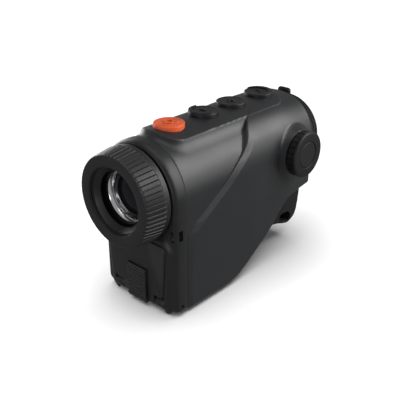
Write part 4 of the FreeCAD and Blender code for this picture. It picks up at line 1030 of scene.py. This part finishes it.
mount(build_cup(), "housing", "cup", "eyecup")


# ---------------------------------------------------------------- belly cover with the tail

EYELET = [(67.8, 13.5), (77.0, 10.9), (78.8, 12.6), (78.8, 14.4), (76.6, 17.2), (70.2, 17.9),
          (67.8, 16.5)]


def build_cover():
    """The lower cover: flat foot, rising keel, hooked tail with its eyelet, screw sinks."""
    lower = [(-19, 0.0), (13, 0.0), (22, 1.9), (32, 5.6), (44, 10.4), (50, 12.6), (56, 13.7),
             (61, 13.9), (66, 12.7), (71, 10.9), (76, 9.5), (79.2, 10.3), (82.6, 12.1),
             (84.5, 15.0), (85.7, 20.6), (86.5, 26.6), (86.9, 32.0), (86.9, 36.5)]
    upper = [(82, 37.2), (64, 35.6), (57, 32.4), (45, 20.2), (24, 6.4), (14, 2.2), (-19, 2.2)]
    outline = soften(lower + upper, 1.6, 3)
    cover = prism("belly_cover_body", outline, "x", -16, 16, 1.1, 3, smooth=30.0)
    cuts = [
        cylinder("insert_seat", 5.02, "z", -1, 8, (0, 0, 0), 64),
        prism("eyelet", soften(EYELET, 1.3, 4), "x", -30, 30),
    ]
    for x in (-12, 12):
        for y in (-10, 10):
            cuts.append(cylinder("sink_%d_%d" % (x, y), 2.0, "z", -1, 0.62, (x, y, 0), 40))
    for i in range(5):
        for side in (-1, 1):
            y = -16.6 + i * 1.3
            low, high = span(side, 3.0, 13.0)
            cuts.append(block("grip_%d_%d" % (i, side), (low, y, -1), (high, y + 0.6, 0.3)))
    return combine(cover, cuts, smooth=30.0)


# the cover takes the darker painted-shade copy of the bezel finish, standing for the shadow on
# the tail
mount(build_cover(), "housing", "bezel", "belly_cover", finish=COVER_PAINTED_SHADE)


# ---------------------------------------------------------------- port flap

def build_flap():
    """The rubber port flap with a finger lip and its plug."""
    low, high = mm_box("port_flap")
    outline = soften([(low[1], low[2] + 0.2), (high[1], low[2] + 0.2), (high[1], high[2]),
                      (low[1], high[2])], 1.8, 5)
    flap = prism("port_flap_rubber", outline, "x", low[0], low[0] + 1.2, 0.3, 3)
    plug = block("flap_plug", (-25.1, 8.6, 43.3), (-24.35, 16.4, 46.3), 0.2)
    combine(flap, [plug], "UNION")
    cuts = []
    for i in range(4):
        z = 46.9 + i * 0.75
        cuts.append(block("flap_grip_%d" % i, (low[0] - 1, 8.5, z),
                          (low[0] + 0.25, 16.5, z + 0.35)))
    return combine(flap, cuts)


mount(build_flap(), "port_flap", "cup", "port_flap")


# ---------------------------------------------------------------- stage, light and camera

def lamp(name, at, width, height, radiance, aim=(0, 10, 55)):
    """A soft rectangular lamp of a given brightness, aimed at the object."""
    data = bpy.data.lights.new(name, "AREA")
    data.shape = "RECTANGLE"
    data.size = width
    data.size_y = height
    data.energy = radiance * math.pi * width * height
    light = bpy.data.objects.new(name, data)
    light.location = Vector(at) * MM
    direction = Vector(aim) * MM - light.location
    light.rotation_euler = direction.to_track_quat("-Z", "Y").to_euler()
    light.visible_camera = False
    bpy.context.scene.collection.objects.link(light)
    return light


WORLD_LIGHT = 0.3
FLOOR_HALF = 3000


def set_stage():
    """An even world and a pale floor, which is returned."""
    world = bpy.data.worlds.new("studio")
    bpy.context.scene.world = world
    world.use_nodes = True
    world.node_tree.nodes["Background"].inputs["Color"].default_value = (1, 1, 1, 1)
    world.node_tree.nodes["Background"].inputs["Strength"].default_value = WORLD_LIGHT
    level = cad_low[2] / MM - 0.05
    corners = [(u * FLOOR_HALF, v * FLOOR_HALF, level)
               for u, v in ((-1, -1), (1, -1), (1, 1), (-1, 1))]
    floor = new_piece("floor", corners, [(0, 1, 2, 3)])
    paint, tree, shader = start_material("floor_paint", Specular_IOR_Level=0.1)
    drift = noise(tree, object_space(tree), 120.0)
    tree.links.new(blend_colors(tree, drift, (0.69, 0.69, 0.69), (0.7, 0.7, 0.7)),
                   shader.inputs["Base Color"])
    tree.links.new(ranged(tree, drift, 0.85, 0.9), shader.inputs["Roughness"])
    floor.data.materials.append(paint)
    floor.visible_glossy = False
    return floor


CAMERA_AT = (217.4, -221.4, 199.6)
CAMERA_TURN = 42.557
CAMERA_PITCH = 26.201
LENS_MM = 59.66


def set_camera():
    """The camera at the photograph's viewing angle."""
    data = bpy.data.cameras.new("camera")
    data.lens = LENS_MM
    data.sensor_width = 36.0
    data.clip_start = 0.01
    camera = bpy.data.objects.new("camera", data)
    camera.location = Vector(CAMERA_AT) * MM
    camera.rotation_euler = (math.radians(90 - CAMERA_PITCH), 0, math.radians(CAMERA_TURN))
    bpy.context.scene.collection.objects.link(camera)
    bpy.context.scene.camera = camera


def receivers(name, thing, state):
    """A light-linking collection that names one object to light, or to leave out."""
    group = bpy.data.collections.new(name)
    group.objects.link(thing)
    group.collection_objects[0].light_linking.link_state = state
    return group


# each lamp's place, width, height and radiance
OBJECT_LAMPS = {
    "side_softbox": ((1120, 960, 915), 1.25, 1.05, 11.0),
    "low_side_softbox": ((1290, 1000, 130), 1.2, 0.45, 3.4),
    "overhead_softbox": ((0, 0, 1900), 1.6, 1.6, 1.6),
    "left_fill": ((-1000, 100, 170), 0.9, 0.5, 6.0),
}
FLOOR_LAMP = ((0, 0, 1900), 2.4, 2.4, 4.4)
SHARED_LAMPS = {
    "front_fill": ((-60, -700, 260), 0.5, 0.4, 2.2),
    "low_front_fill": ((280, -800, 80), 0.6, 0.2, 5.0),
}

floor = set_stage()
set_camera()
# the floor has a lamp of its own, and the object's larger lamps leave it even
stage_only = receivers("stage_only", floor, "INCLUDE")
lamp("floor_softbox", *FLOOR_LAMP).light_linking.receiver_collection = stage_only
all_but_stage = receivers("all_but_stage", floor, "EXCLUDE")
for name, settings in OBJECT_LAMPS.items():
    lamp(name, *settings).light_linking.receiver_collection = all_but_stage
for name, settings in SHARED_LAMPS.items():
    lamp(name, *settings)
bpy.context.scene.view_settings.view_transform = "Standard"
